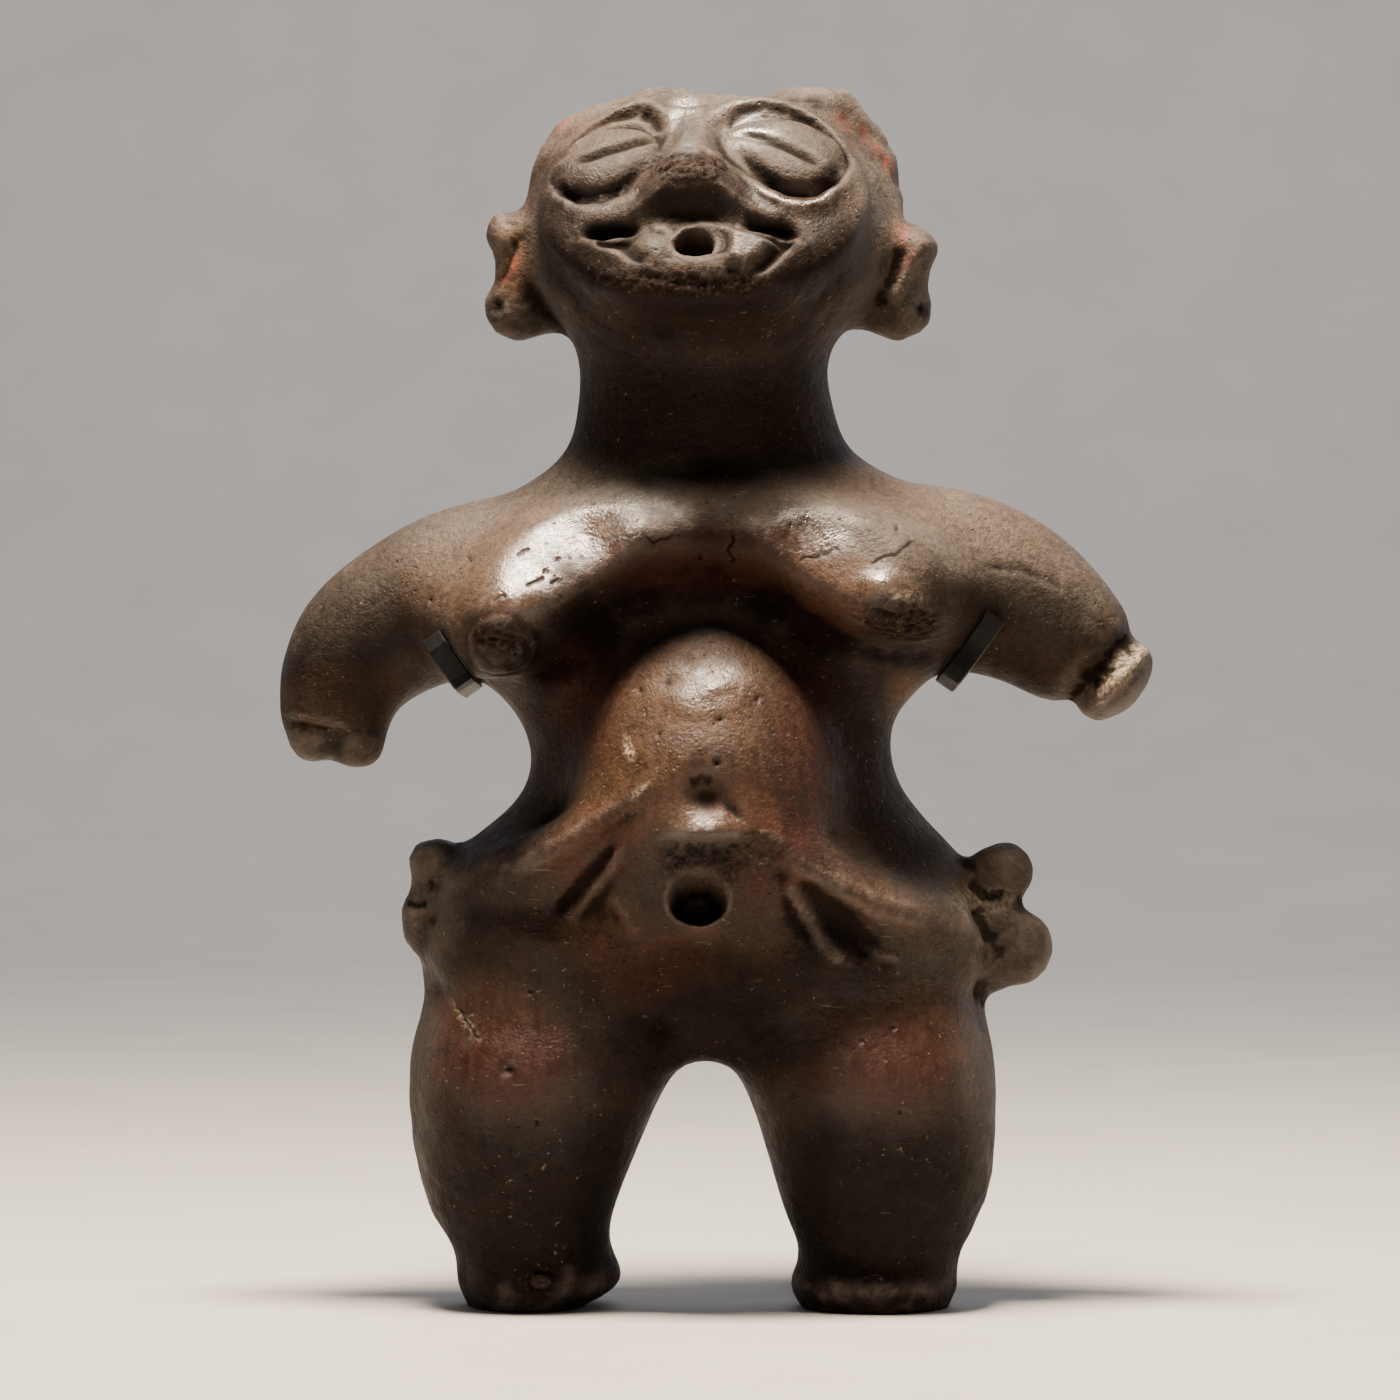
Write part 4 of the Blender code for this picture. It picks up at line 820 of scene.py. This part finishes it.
# Colour of each place on the clay. A tint's patches lie on the side that faces the viewer: centre from the
# front, radii, turn, strength. Their edges follow noise of this grain and seed. Behind, the tint lies in
# clouds: width and seed of their noise, the low and high that it rises between, strength.
tints = {
    "warm": {"grain": 9, "seed": 31, "behind": (34, 41, 0.0, 0.5, 0.7), "patches": [
        ((-34.1, 157.3), (16, 8), 20, 0.5), ((-43.9, 143.1), (9, 10), 20, 0.6),
        ((-54.5, 151.2), (10, 7), 30, 0.3), ((40, 165.9), (18, 5), -12, 0.4),
        ((28.9, 147.2), (14, 7), -10, 0.6), ((61.4, 161.4), (12, 6), -25, 0.3),
        ((-1.6, 124.8), (16, 13), 0, 0.6), ((-13.8, 108.5), (13, 12), 40, 0.7),
        ((-1.6, 104.5), (14, 10), 0, 0.7), ((-24, 98.4), (15, 4.5), 38, 0.6),
        ((32.9, 83.1), (18, 4.5), -20, 0.4), ((-22, 79.1), (8, 8), 40, 0.5), ((40, 126.8), (4, 4), 0, 0.8),
        ((-24, 243.1), (9, 6), 30, 0.25), ((-40.7, 213.8), (4, 8), 10, 0.7),
        ((-74.8, 124.8), (11, 7), 0, 0.5), ((67.5, 132.9), (18, 6), -20, 0.5), ((-1.6, 72), (18, 6), 0, 0.5),
        ((-47.4, 61.8), (10, 8), 0, 0.5), ((45.1, 57.7), (13, 8), 0, 0.6),
    ]},
    # grey-tan of the clay; on the front its patches also paint light: on the tops of the shoulders, chest and
    # head, on the navel's ledge and a spot on the belly, and a rim down the outer sides of the legs
    "ashAndLight": {"grain": 10, "seed": 38, "behind": (38, 46, 0.1, 0.6, 0.7), "patches": [
        ((-30.1, 163), (24, 8), 14, 0.8), ((-48.4, 156.3), (14, 12), 25, 0.8),
        ((40, 164.4), (26, 8), -10, 0.95), ((55.3, 157.3), (20, 12), -20, 0.9),
        ((32.9, 152.2), (15, 9), -10, 0.8), ((71.5, 145.1), (12, 12), -20, 0.8),
        ((-76.8, 147.2), (14, 14), 0, 0.7), ((-73.8, 117.7), (14, 7), 0, 0.6),
        ((82.7, 128.9), (10, 9), 0, 0.9), ((-1.6, 240.7), (34, 10), 0, 0.5),
        ((-3.7, 218.3), (22, 8), 0, 0.35), ((35, 226.4), (6, 22), 0, 0.8), ((40, 208.1), (8, 13), 0, 0.9),
        ((-39.2, 206.1), (9, 14), 0, 0.7), ((-24, 244.7), (20, 7), 20, 0.8),
        ((61.8, 82.1), (11, 16), 0, 0.95), ((-56.5, 86.2), (6, 12), 0, 0.7), ((45.1, 78), (10, 10), 0, 0.6),
        ((-0.4, 98.8), (9, 3.4), 0, 1.0), ((1.6, 126.8), (8, 5), 0, 0.3), ((55.3, 49.6), (4, 26), 0, 0.5),
        ((-57.5, 51.6), (4, 28), 0, 0.4), ((-48.4, 145.1), (10, 12), 20, 0.5),
        ((10.6, 248.4), (26, 3), 0, 0.8),
    ]},
    # black of the open fire, in clouds behind; on the front its patches are mostly painted shade: on the neck
    # and under the chin, ears and nose, in the mouth's hollows, on the cheeks, under the chest and on the
    # belly's top and flanks, under the belly, and down the arms, thighs and shins
    "sootAndShade": {"grain": 12, "seed": 32, "behind": (40, 42, 0.05, 0.55, 0.8), "patches": [
        ((-1.6, 177.6), (27, 15), 0, 0.5), ((-1.6, 148.4), (14, 5), 0, 1.0),
        ((-13.8, 145.9), (9, 5), 15, 1.0), ((12.2, 145.1), (9, 5), -18, 1.0), ((-24, 140), (7, 7), 40, 1.0),
        ((21.7, 138), (7, 6), -35, 0.9), ((-32.1, 131.3), (6, 6), 40, 0.9), ((-22, 137), (6, 12), -20, 0.7),
        ((22.8, 132.9), (7, 13), 15, 0.7), ((-30.1, 120.7), (7, 12), 20, 0.5),
        ((28.9, 116.7), (8, 14), 0, 0.5), ((-28.9, 154.3), (5, 7), 30, 0.5),
        ((-48.4, 81.1), (12, 13), 0, 0.35), ((-1.6, 57.7), (22, 18), 0, 0.75),
        ((-22, 59.8), (12, 14), -30, 0.4), ((-34.1, 20.1), (26, 32), 0, 0.8), ((35, 19.1), (27, 32), 0, 0.8),
        ((-1.2, 136.4), (15, 6), 0, 0.6), ((-75.8, 131.9), (15, 24), 0, 0.7),
        ((65.4, 137), (20, 13), -25, 0.7), ((-33.1, 45.5), (20, 20), 0, 0.6),
        ((33.9, 45.5), (22, 20), 0, 0.4), ((-27, 213.8), (7, 10), 40, 0.75),
        ((22.8, 213.8), (8, 12), -40, 0.75), ((-3.7, 206.1), (26, 5), 0, 0.7),
        ((-30.1, 223.4), (4, 8), 0, 0.5), ((-3.7, 225.8), (14, 5), 0, 0.6),
        ((-19.5, 219.1), (6, 2.6), 0, 1.0), ((14.6, 218.7), (6, 2.8), -20, 1.0),
        ((-41.7, 135.6), (7, 7), 0, 0.95), ((39, 139.4), (9, 4), -12, 0.8), ((-1.6, 66.9), (24, 10), 0, 0.9),
        ((-33.1, 5.9), (18, 6), 0, 0.5), ((33.9, 4.9), (18, 6), 0, 0.5), ((-79.3, 143.1), (7, 18), -15, 0.5),
        ((-72.8, 115.7), (12, 5), 0, 0.8), ((59.3, 124.8), (14, 8), 0, 0.4), ((42.1, 74), (10, 6), 0, 0.4),
        ((-17.9, 67.9), (14, 8), 0, 0.45), ((-3.7, 202), (30, 7), 0, 0.5), ((-38.2, 202), (10, 6), 0, 0.6),
        ((37, 201), (10, 6), 0, 0.5), ((32.9, 69.9), (10, 5), 0, 0.5),
    ]},
    "fired": {"grain": 12, "seed": 33, "behind": (30, 43, 0.15, 0.6, 0.6), "patches": [
        ((-39.2, 51.2), (15, 11), 20, 0.6), ((37, 50), (15, 11), -10, 0.6), ((-22, 94.3), (10, 8), 30, 0.5),
        ((21.1, 115.7), (7, 16), 10, 0.4), ((-26, 124.8), (7, 12), 0, 0.45), ((-13.8, 72), (14, 8), 0, 0.35),
        ((12.6, 94.3), (12, 14), 20, 0.5), ((-1.6, 153.3), (26, 7), 0, 0.4), ((26.8, 143.1), (8, 6), 0, 0.4),
    ]},
    "ochre": {"grain": 2.2, "seed": 34, "patches": [
        ((-28.7, 242.7), (2.4, 0.9), 45, 0.6), ((35.8, 234.6), (1.1, 4.6), 32, 0.8),
        ((-39.8, 212.6), (0.8, 4.0), -25, 0.8), ((39.6, 219.1), (1.6, 3.0), 20, 0.6),
        ((40.7, 213.8), (1.0, 3.4), -28, 0.5), ((27.2, 242.7), (2.6, 0.9), -45, 0.6),
        ((32.1, 239.4), (2.0, 0.9), -50, 0.5),
    ]},
    # pale chalky deposit; its patch on the right hand's ridge is a painted highlight
    "chalkAndHighlight": {"grain": 3.4, "seed": 35, "behind": (7, 45, 0.45, 0.7, 0.4), "patches": [
        ((-16.1, 114.8), (0.8, 2.4), 15, 1.0), ((40, 145.9), (5, 1.2), -10, 0.3),
        ((-13.8, 106.5), (2.6, 0.5), 40, 0.5), ((84.1, 130.5), (8, 2.2), 45, 0.55),
        ((-49, 59.3), (0.6, 5), 38, 0.5), ((56.3, 84.1), (6, 3), 0, 0.25),
    ]},
    "burnish": {"grain": 8, "seed": 36, "patches": [
        ((-24, 159.3), (15, 6), 14, 1.0), ((-38.2, 148.2), (7, 9), -34, 1.0),
        ((20.3, 158.9), (9, 5), -8, 1.0), ((35.4, 147.6), (5, 4), 0, 1.0), ((0.8, 126.8), (9, 6), 0, 0.6),
        ((-1.6, 104.5), (14, 18), 0, 0.3), ((8.1, 241.5), (6, 4), -20, 1.0), ((-4.9, 241.7), (3, 6), 0, 0.9),
        ((16.7, 227.2), (12, 2.5), 0, 0.8), ((8.1, 218.3), (6, 4), 0, 0.3), ((-22, 228.5), (8, 3), 0, 0.4),
        ((-0.4, 98.6), (7, 2.4), 0, 0.7), ((-38.2, 51.6), (14, 16), 0, 0.4), ((39, 51.6), (14, 16), 0, 0.4),
    ]},
}


def spread(kind, points, where, front):
    # the strongest patch of one tint at each point of the front, 1 in the middle and 0 past its ragged edge,
    # and the tint's clouds behind
    tint = tints[kind]
    total = np.zeros(len(points))
    ragged = rugged(points, tint["grain"], tint["seed"]) * 0.3
    for centre, radii, turn, strength in tint["patches"]:
        share = ovalShare(where, centre, radii, turn) * (1 + ragged) + ragged * 0.5
        total = np.maximum(total, strength * smoothStep(1.45, 0.45, share))
    total = total * front
    if "behind" in tint:
        size, seed, low, high, strength = tint["behind"]
        total += (1 - front) * smoothStep(low, high, rugged(points, size, seed)) * strength
    return total


# What the ground did, with shade painted into hollows, from none to full: a way in mm to the mean of the
# surroundings, and that way for the skin area. Dirt and painted shade lie where the clay is hollow by both,
# and it is worn where it stands out by both.
ground = {
    "dirtAndShade": (0.01, 0.14), "dirtAndShadeBend": (0.05, 0.2), "worn": (0.01, 0.12), "wornBend": (0.08, 0.25),
    "dent": (0.1, 0.9), "dentDirtAndShade": 0.5,          # depth of a dent, and its dirt and painted shade
    # darkening along the hairline cracks, and painted shade along the face's grooves
    "crackWidth": 0.35, "grooveDirtAndShade": 0.75,
    "burnishBehind": 0.4,
}


def surfaceShares(points, triangles, fallen):
    # share of each tint at every point, and of broken clay, of dirt and painted shade in hollows, dents,
    # cracks and the face's grooves, and of wear on what stands out; a point is hollow by its way to the mean
    # of its surroundings, and by that way for its skin area
    where = seenFromFront(points)
    normals = pointNormals(points, triangles)
    front = smoothStep(0.15, -0.15, normals[:, 1])
    found = {kind: spread(kind, points, where, front) for kind in tints}
    found["burnish"] += ground["burnishBehind"] * (1 - front)
    broken = np.zeros(len(points))
    for centre, radii, turn, strength, grain in body["broken"]:
        share = ovalShare(where, centre, radii, turn) + rugged(points, 3, 37) * 0.25
        broken = np.maximum(broken, smoothStep(1.25, 0.8, share) * min(1, 0.3 + 0.7 * strength) * front)
    # dark lines along the hairline cracks, and painted shade along the face's grooves
    crackAndGrooveShade = np.zeros(len(points))
    bent = wandering(points, where)
    for path, width, rise in body["strokes"]:
        if width < body["fine"]["under"]:
            distance, share = fromPath(bent, path)
            crackAndGrooveShade = np.maximum(crackAndGrooveShade, hump(distance, ground["crackWidth"]) * taper(share, 0.2))
    u, v, out, _ = onFace(points)
    for path, width, depth in face["grooves"]:
        distance, share = fromPath(np.stack([u, v], 1), path)
        groove = ground["grooveDirtAndShade"] * hump(distance, 0.7 * width) * taper(share, 0.2) * (out > -3)
        crackAndGrooveShade = np.maximum(crackAndGrooveShade, groove)
    # dirt and painted shade where the clay is hollow
    hollow = ((relax(points, triangles, 5, 0.6) - points) * normals).sum(1)
    bend = hollow / areaShares(points, triangles)
    dirtAndShade = smoothStep(*ground["dirtAndShade"], hollow) * smoothStep(*ground["dirtAndShadeBend"], bend)
    found["broken"] = broken
    found["dirtAndShade"] = dirtAndShade + (smoothStep(*ground["dent"], -fallen) * ground["dentDirtAndShade"] + crackAndGrooveShade * front)
    found["edge"] = smoothStep(*ground["worn"], -hollow) * smoothStep(*ground["wornBend"], -bend)
    return found


# up to four shares a point in each attribute
attributes = {
    "firing": ("warm", "sootAndShade", "fired", "ochre"),
    "wear": ("broken", "chalkAndHighlight", "dirtAndShade", "burnish"),
    "surface": ("edge", "ashAndLight"),
}
shares = surfaceShares(points, triangles, fallen)
for name, kinds in attributes.items():
    rows = np.zeros((len(points), 4), np.float32)
    for column, kind in enumerate(kinds):
        rows[:, column] = np.clip(shares[kind], 0, 1)
    figure.data.color_attributes.new(name, "FLOAT_COLOR", "POINT").data.foreach_set("color", rows.ravel())
print("colours stored")


def paint(hexCode):
    # an sRGB hex colour as the linear colour that a shader takes: each share c of 255 becomes
    # ((c + 0.055) / 1.055)^2.4, or c / 12.92 where it is dark
    parts = [int(hexCode[k:k + 2], 16) / 255 for k in (1, 3, 5)]
    return [c / 12.92 if c <= 0.04045 else ((c + 0.055) / 1.055) ** 2.4 for c in parts] + [1]


def addNode(tree, kind, inputs, out=0, **settings):
    # a node with its settings; its inputs, by name or number, are values or sockets to link; gives one output
    node = tree.nodes.new(kind)
    for name, value in settings.items():
        setattr(node, name, value)
    for name, value in inputs.items():
        if isinstance(value, bpy.types.NodeSocket):
            tree.links.new(value, node.inputs[name])
        else:
            node.inputs[name].default_value = value
    return node.outputs[out]


def newMaterial(name, look):
    # a Principled material with the patterns of its look, each found by its name: places on the object in
    # millimetres, turned and stretched; noises, with lumps so many millimetres wide; and ramps, which run
    # smoothly from start to end while their pattern rises from low to high
    material = bpy.data.materials.new(name)
    material.use_nodes = True
    tree = material.node_tree
    place = addNode(tree, "ShaderNodeTexCoord", {}, "Object")
    place = addNode(tree, "ShaderNodeVectorMath", {"Vector": place, "Scale": 1 / mm}, operation="SCALE")
    found = {"even": place}
    for name, (turn, stretch) in look.get("turns", {}).items():
        moved = {"Vector": place, "Rotation": turn, "Scale": stretch}
        found[name] = addNode(tree, "ShaderNodeMapping", moved)
    for name, (where, width, detail, roughness, distortion) in look["noises"].items():
        found[name] = addNode(tree, "ShaderNodeTexNoise", {
            "Vector": found[where], "Scale": 1 / width, "Detail": detail, "Roughness": roughness,
            "Distortion": distortion,
        })
    for name, (pattern, low, high, start, end) in look["ramps"].items():
        found[name] = addNode(
            tree, "ShaderNodeMapRange", {0: found[pattern], 1: low, 2: high, 3: start, 4: end},
            interpolation_type="SMOOTHSTEP",
        )
    return material, tree, tree.nodes["Principled BSDF"], found


def layered(tree, found, look, colour, layers):
    # each layer covers the colour under it with its own, by the product of the shares named after it
    for name, first, *others in look[layers]:
        amount = found[first]
        for other in others:
            pair = {0: amount, 1: found.get(other, other)}
            amount = addNode(tree, "ShaderNodeMath", pair, operation="MULTIPLY")
        covered = {0: amount, 6: colour, 7: paint(look["colours"][name])}
        colour = addNode(tree, "ShaderNodeMix", covered, 2, data_type="RGBA")
    return colour


# burnished earthenware: coarse clay rubbed with a pebble while damp, then fired in an open fire; the rubbing
# leaves a sheen in strokes, the fire leaves brown, red and black clouds, the ground leaves pits and pale
# grit;
# on the front the black also paints shade, the grey-tan paints light on lit tops, and the dark of the hollows
# paints shade as well as dirt
earth = {
    "colours": {
        "body": "#1e1611", "bodyLight": "#2b2017", "ashAndLight": "#4a433b", "warm": "#4f3723", "sootAndShade": "#0a0807",
        "fired": "#462016", "ochre": "#7a3428", "broken": "#2a2320", "chalkAndHighlight": "#ab9d85", "dirtAndShade": "#0c0a09",
        "worn": "#5a5049", "grit": "#8d8273", "crumb": "#61584f",
    },
    # turn in radians and stretch of the places: along the pebble's strokes, and along scratches of roots
    "turns": {"rubbed": ((0.2, 0.5, 0.1), (1, 1, 0.16)), "scratched": ((0.1, -0.7, 0.2), (0.06, 1, 1))},
    "noises": {
        # places, width of the lumps in mm, detail, roughness, distortion
        "clouds": ("even", 14, 5, 0.6, 0.4),           # of the fire
        "mottle": ("even", 3.2, 4, 0.6, 0),
        "temper": ("even", 1.3, 3, 0.6, 0),            # sand in the clay
        "fine": ("even", 0.55, 2, 0.6, 0),             # the clay's grain, drawn coarser than real to show
        "strokes": ("rubbed", 1.6, 3, 0.6, 0),
        "crumbs": ("even", 1.0, 4, 0.7, 0),            # of the breaks
        "scratches": ("scratched", 0.55, 1, 0.4, 0),
        "gritNoise": ("even", 1.1, 2, 0.5, 0),
        "ochreNoise": ("even", 1.8, 3, 0.55, 0),
        "chalkAndHighlightNoise": ("even", 0.9, 3, 0.55, 0),
    },
    "ramps": {
        # pattern, low, high, start, end
        "light": ("clouds", 0.28, 0.72, 0, 1), "blotch": ("mottle", 0.3, 0.7, 0.86, 1.08),
        "mottleShade": ("mottle", 0.25, 0.75, 0.9, 1.1), "strokeShade": ("strokes", 0.3, 0.7, 0.88, 1.12),
        "fineShade": ("fine", 0.3, 0.7, 0.82, 1.18), "temperShade": ("temper", 0.32, 0.6, 0.76, 1.1),
        "wornMask": ("mottle", 0.35, 0.7, 0.15, 0.6), "crumbMask": ("crumbs", 0.54, 0.68, 0, 0.5),
        "scratchMask": ("scratches", 0.73, 0.8, 0, 0.2), "gritMask": ("gritNoise", 0.68, 0.74, 0, 1),
        "gritClouds": ("clouds", 0.45, 0.6, 0.03, 0.32), "ochreMask": ("ochreNoise", 0.38, 0.62, 0.1, 0.8),
        "chalkAndHighlightMask": ("chalkAndHighlightNoise", 0.42, 0.6, 0.1, 1), "rough": ("mottle", 0.3, 0.7, 0.52, 0.68),
        "strokeRough": ("strokes", 0.3, 0.7, -0.06, 0.06), "pitClouds": ("clouds", 0.4, 0.6, 0.3, 1),
    },
    # layers of the fire, then shades of grey over them, then layers of the ground; a layer has its colour and
    # the shares whose product it covers by; the fire's black and grey-tan layers also paint shade and light,
    # the ground's dark layer paints shade in hollows as well as dirt, and the chalk layer a highlight on the
    # right hand
    "fire": [
        ("bodyLight", "light"), ("ashAndLight", "ashAndLight", "blotch", 0.85), ("warm", "warm", "blotch", 0.75),
        ("sootAndShade", "sootAndShade", "blotch", 0.92), ("fired", "fired", "blotch", 0.6),
    ],
    "shades": ("mottleShade", "strokeShade", "fineShade", "temperShade"),
    "ground": [
        ("worn", "edge", "wornMask"), ("broken", "broken", 0.75), ("crumb", "broken", "crumbMask"),
        ("grit", "scratchMask"), ("grit", "gritMask", "gritClouds"), ("ochre", "ochre", "ochreMask"),
        ("chalkAndHighlight", "chalkAndHighlightCover"), ("dirtAndShade", "dirtAndShadeCover"),
    ],
    # pairs: shares and patterns brought together; what is broken, chalky or dirty is matt, and so are the
    # painted highlight on the hand and the painted shade in hollows
    "pairs": [
        ("chalkAndHighlightCover", "MULTIPLY", "chalkAndHighlight", "chalkAndHighlightMask"), ("dirtAndShadeCover", "MULTIPLY", "dirtAndShade", 0.8),
        ("dull", "MAXIMUM", "broken", "chalkAndHighlightCover"), ("matt", "MAXIMUM", "dull", "dirtAndShadeCover"),
    ],
    "pits": {"spacing": 2.6, "low": 0.05, "high": 0.16, "depth": 0.24},   # spacing in mm
    # sums: what each starts from, then shares and patterns with their weights; heights are in mm
    "sums": {
        "Roughness": ("rough", {"burnish": -0.3, "strokeRough": 1.0, "matt": 0.35}),
        "Specular IOR Level": (0.18, {"burnish": 0.42, "sootAndShade": -0.14, "matt": -0.15}),
        "rubbing": (1.0, {"burnish": -0.45}), "grain": (0.0, {"fine": 0.13, "temper": 0.3}),
        "crumbling": (0.0, {"broken": 0.7}),
        "height": (0.0, {
            "grain": "rubbing", "mottle": 0.16, "strokes": 0.05, "pits": "pitClouds", "crumbs": "crumbling",
        }),
    },
}
earthenware, tree, shader, found = newMaterial("burnished_earthenware", earth)
for name, kinds in attributes.items():
    stored = addNode(tree, "ShaderNodeAttribute", {}, "Color", attribute_name=name)
    parts = addNode(tree, "ShaderNodeSeparateColor", {"Color": stored}).node.outputs
    found.update(zip(kinds, [*parts, stored.node.outputs["Alpha"]]))
for name, operation, first, second in earth["pairs"]:
    pair = {0: found[first], 1: found.get(second, second)}
    found[name] = addNode(tree, "ShaderNodeMath", pair, operation=operation)

colour = layered(tree, found, earth, paint(earth["colours"]["body"]), "fire")
shade = found[earth["shades"][0]]
for name in earth["shades"][1:]:
    shade = addNode(tree, "ShaderNodeMath", {0: shade, 1: found[name]}, operation="MULTIPLY")
grey = addNode(tree, "ShaderNodeCombineColor", {0: shade, 1: shade, 2: shade})
shaded = {0: 1.0, 6: colour, 7: grey}
colour = addNode(tree, "ShaderNodeMix", shaded, 2, data_type="RGBA", blend_type="MULTIPLY")
colour = layered(tree, found, earth, colour, "ground")
tree.links.new(colour, shader.inputs["Base Color"])

pits = earth["pits"]
cells = {"Vector": found["even"], "Scale": 1 / pits["spacing"], "Randomness": 1.0}
cells = addNode(tree, "ShaderNodeTexVoronoi", cells, "Distance")
found["pits"] = addNode(
    tree, "ShaderNodeMapRange", {0: cells, 1: pits["low"], 2: pits["high"], 3: -pits["depth"], 4: 0.0},
    interpolation_type="SMOOTHSTEP",
)
for name, (total, terms) in earth["sums"].items():
    total = found.get(total, total)
    for term, weight in terms.items():
        weighted = {0: found[term], 1: found.get(weight, weight), 2: total}
        total = addNode(tree, "ShaderNodeMath", weighted, operation="MULTIPLY_ADD")
    found[name] = total
for name in ("Roughness", "Specular IOR Level"):
    tree.links.new(found[name], shader.inputs[name])
bump = addNode(tree, "ShaderNodeBump", {"Strength": 1.0, "Distance": mm, "Height": found["height"]})
tree.links.new(bump, shader.inputs["Normal"])
figure.data.materials.append(earthenware)

# satin black paint on bent steel: brushed on by hand, so it lies in a faint skin and is thinner in wide
# patches
steelPaint = {
    "colours": {"paint": "#060607", "thin": "#0d0d0e", "dust": "#242322"},
    "noises": {
        "skin": ("even", 1.3, 3, 0.55, 0),      # left by the brush
        "wide": ("even", 7, 4, 0.55, 0),
        "specks": ("even", 0.5, 2, 0.55, 0),
    },
    "ramps": {
        "thinning": ("wide", 0.4, 0.65, 0, 1), "dusting": ("specks", 0.66, 0.76, 0, 0.5),
        "rough": ("skin", 0.3, 0.7, 0.4, 0.55),
    },
    "layers": [("thin", "thinning"), ("dust", "dusting")],
    "gloss": 0.14, "skinHeight": 0.05,          # height in mm
}
blackPaint, tree, shader, found = newMaterial("satin_black_paint", steelPaint)
colour = layered(tree, found, steelPaint, paint(steelPaint["colours"]["paint"]), "layers")
tree.links.new(colour, shader.inputs["Base Color"])
tree.links.new(found["rough"], shader.inputs["Roughness"])
shader.inputs["Specular IOR Level"].default_value = steelPaint["gloss"]
height = {0: found["skin"], 1: steelPaint["skinHeight"]}
height = addNode(tree, "ShaderNodeMath", height, operation="MULTIPLY")
bump = addNode(tree, "ShaderNodeBump", {"Strength": 1.0, "Distance": mm, "Height": height})
tree.links.new(bump, shader.inputs["Normal"])
for name in ("cradle", "stand_post", "stand_foot"):
    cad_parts[name].data.materials.clear()
    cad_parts[name].data.materials.append(blackPaint)
print("materials made")

# The studio, in metres: a floor that bends up into a wall. Its matt paint was rolled on, and the roller's nap
# leaves a faint unevenness of tone and sheen.
studio = {
    "floorHalf": 8.0, "wallAt": 2.5, "wallHeight": 3.4, "bend": 1.0, "bendSteps": 25,
    "colours": {"floor": "#b1aea9", "floorLight": "#b6b3ae"},
    "noises": {"rolled": ("even", 60, 4, 0.55, 0), "nap": ("even", 3, 2, 0.55, 0)},
    "ramps": {"lighter": ("rolled", 0.3, 0.7, 0, 1), "rough": ("nap", 0.3, 0.7, 0.74, 0.86)},
    "layers": [("floorLight", "lighter")],
    "world": "#d8dade", "worldStrength": 0.04,
    "lamps": {
        # place, aim, width, height, watts, colour
        "overhead": ((-0.04, -0.165, 0.87), (0, -0.03, 0.15), 0.25, 0.19, 44.0, "#ffead4"),
        "front": ((-0.3, -1.7, 0.55), (0, 0, 0.12), 1.2, 1.0, 0.9, "#f4f6ff"),
        "leftEdge": ((-0.75, 0.45, 0.35), (0, 0, 0.12), 0.4, 0.9, 1.0, "#f5f6fa"),
        "rightEdge": ((0.75, 0.45, 0.35), (0, 0, 0.12), 0.4, 0.9, 2.4, "#f5f6fa"),
        "behind": ((0.3, 1.5, 1.0), (0, 0, 0.12), 0.9, 0.6, 3.0, "#f5f6fa"),
        "wall": ((0, 1.5, 1.9), (0, 2.4, 0.5), 2.4, 0.4, 32.0, "#f4f6ff"),
    },
}


def sweepSurface():
    # floor running back, a quarter circle of radius bend, then a wall, all as wide as the floor
    s = np.linspace(0, 1, studio["bendSteps"])
    bend, back = studio["bend"], studio["wallAt"]
    y = np.concatenate([[-studio["floorHalf"]], back - bend + bend * np.sin(s * math.pi / 2), [back]])
    z = np.concatenate([[0], bend - bend * np.cos(s * math.pi / 2), [studio["wallHeight"]]])
    x = np.array([-studio["floorHalf"], studio["floorHalf"]])
    grid = np.stack(np.broadcast_arrays(x[None, :], y[:, None], z[:, None]), -1)
    i = np.arange(len(y) - 1) * 2
    quads = np.stack([i, i + 1, i + 3, i + 2], 1)
    return grid.reshape(-1, 3), np.concatenate([quads[:, [0, 1, 2]], quads[:, [0, 2, 3]]])


sweepPoints, sweepTriangles = sweepSurface()
sweep = newPiece("floor", sweepPoints / mm, sweepTriangles)
floorPaint, tree, shader, found = newMaterial("matte_studio_paint", studio)
colour = layered(tree, found, studio, paint(studio["colours"]["floor"]), "layers")
tree.links.new(colour, shader.inputs["Base Color"])
tree.links.new(found["rough"], shader.inputs["Roughness"])
sweep.data.materials.append(floorPaint)

for name, (place, aim, width, height, watts, colour) in studio["lamps"].items():
    lamp = bpy.data.lights.new(name, "AREA")
    lamp.shape = "RECTANGLE"
    lamp.size, lamp.size_y, lamp.energy = width, height, watts
    lamp.color = paint(colour)[:3]
    holder = bpy.data.objects.new(name, lamp)
    bpy.context.scene.collection.objects.link(holder)
    holder.location = place
    direction = np.array(aim) - np.array(place)
    pitch = math.atan2(math.hypot(direction[0], direction[1]), -direction[2])
    holder.rotation_euler = (pitch, 0, math.atan2(-direction[0], direction[1]))

world = bpy.data.worlds.new("studio")
world.use_nodes = True
background = world.node_tree.nodes["Background"]
background.inputs["Color"].default_value = paint(studio["world"])
background.inputs["Strength"].default_value = studio["worldStrength"]
bpy.context.scene.world = world

camera = bpy.data.cameras.new("camera")
camera.sensor_width = eye["sensor"]
camera.lens = eye["sensor"] * -eye["place"][1] / eye["fieldWidth"]
cameraHolder = bpy.data.objects.new("camera", camera)
bpy.context.scene.collection.objects.link(cameraHolder)
cameraHolder.location = [(a + b) * mm for a, b in zip(eye["place"], clay["shift"])]
cameraHolder.rotation_euler = (math.pi / 2, 0, 0)
bpy.context.scene.camera = cameraHolder
print("studio set")
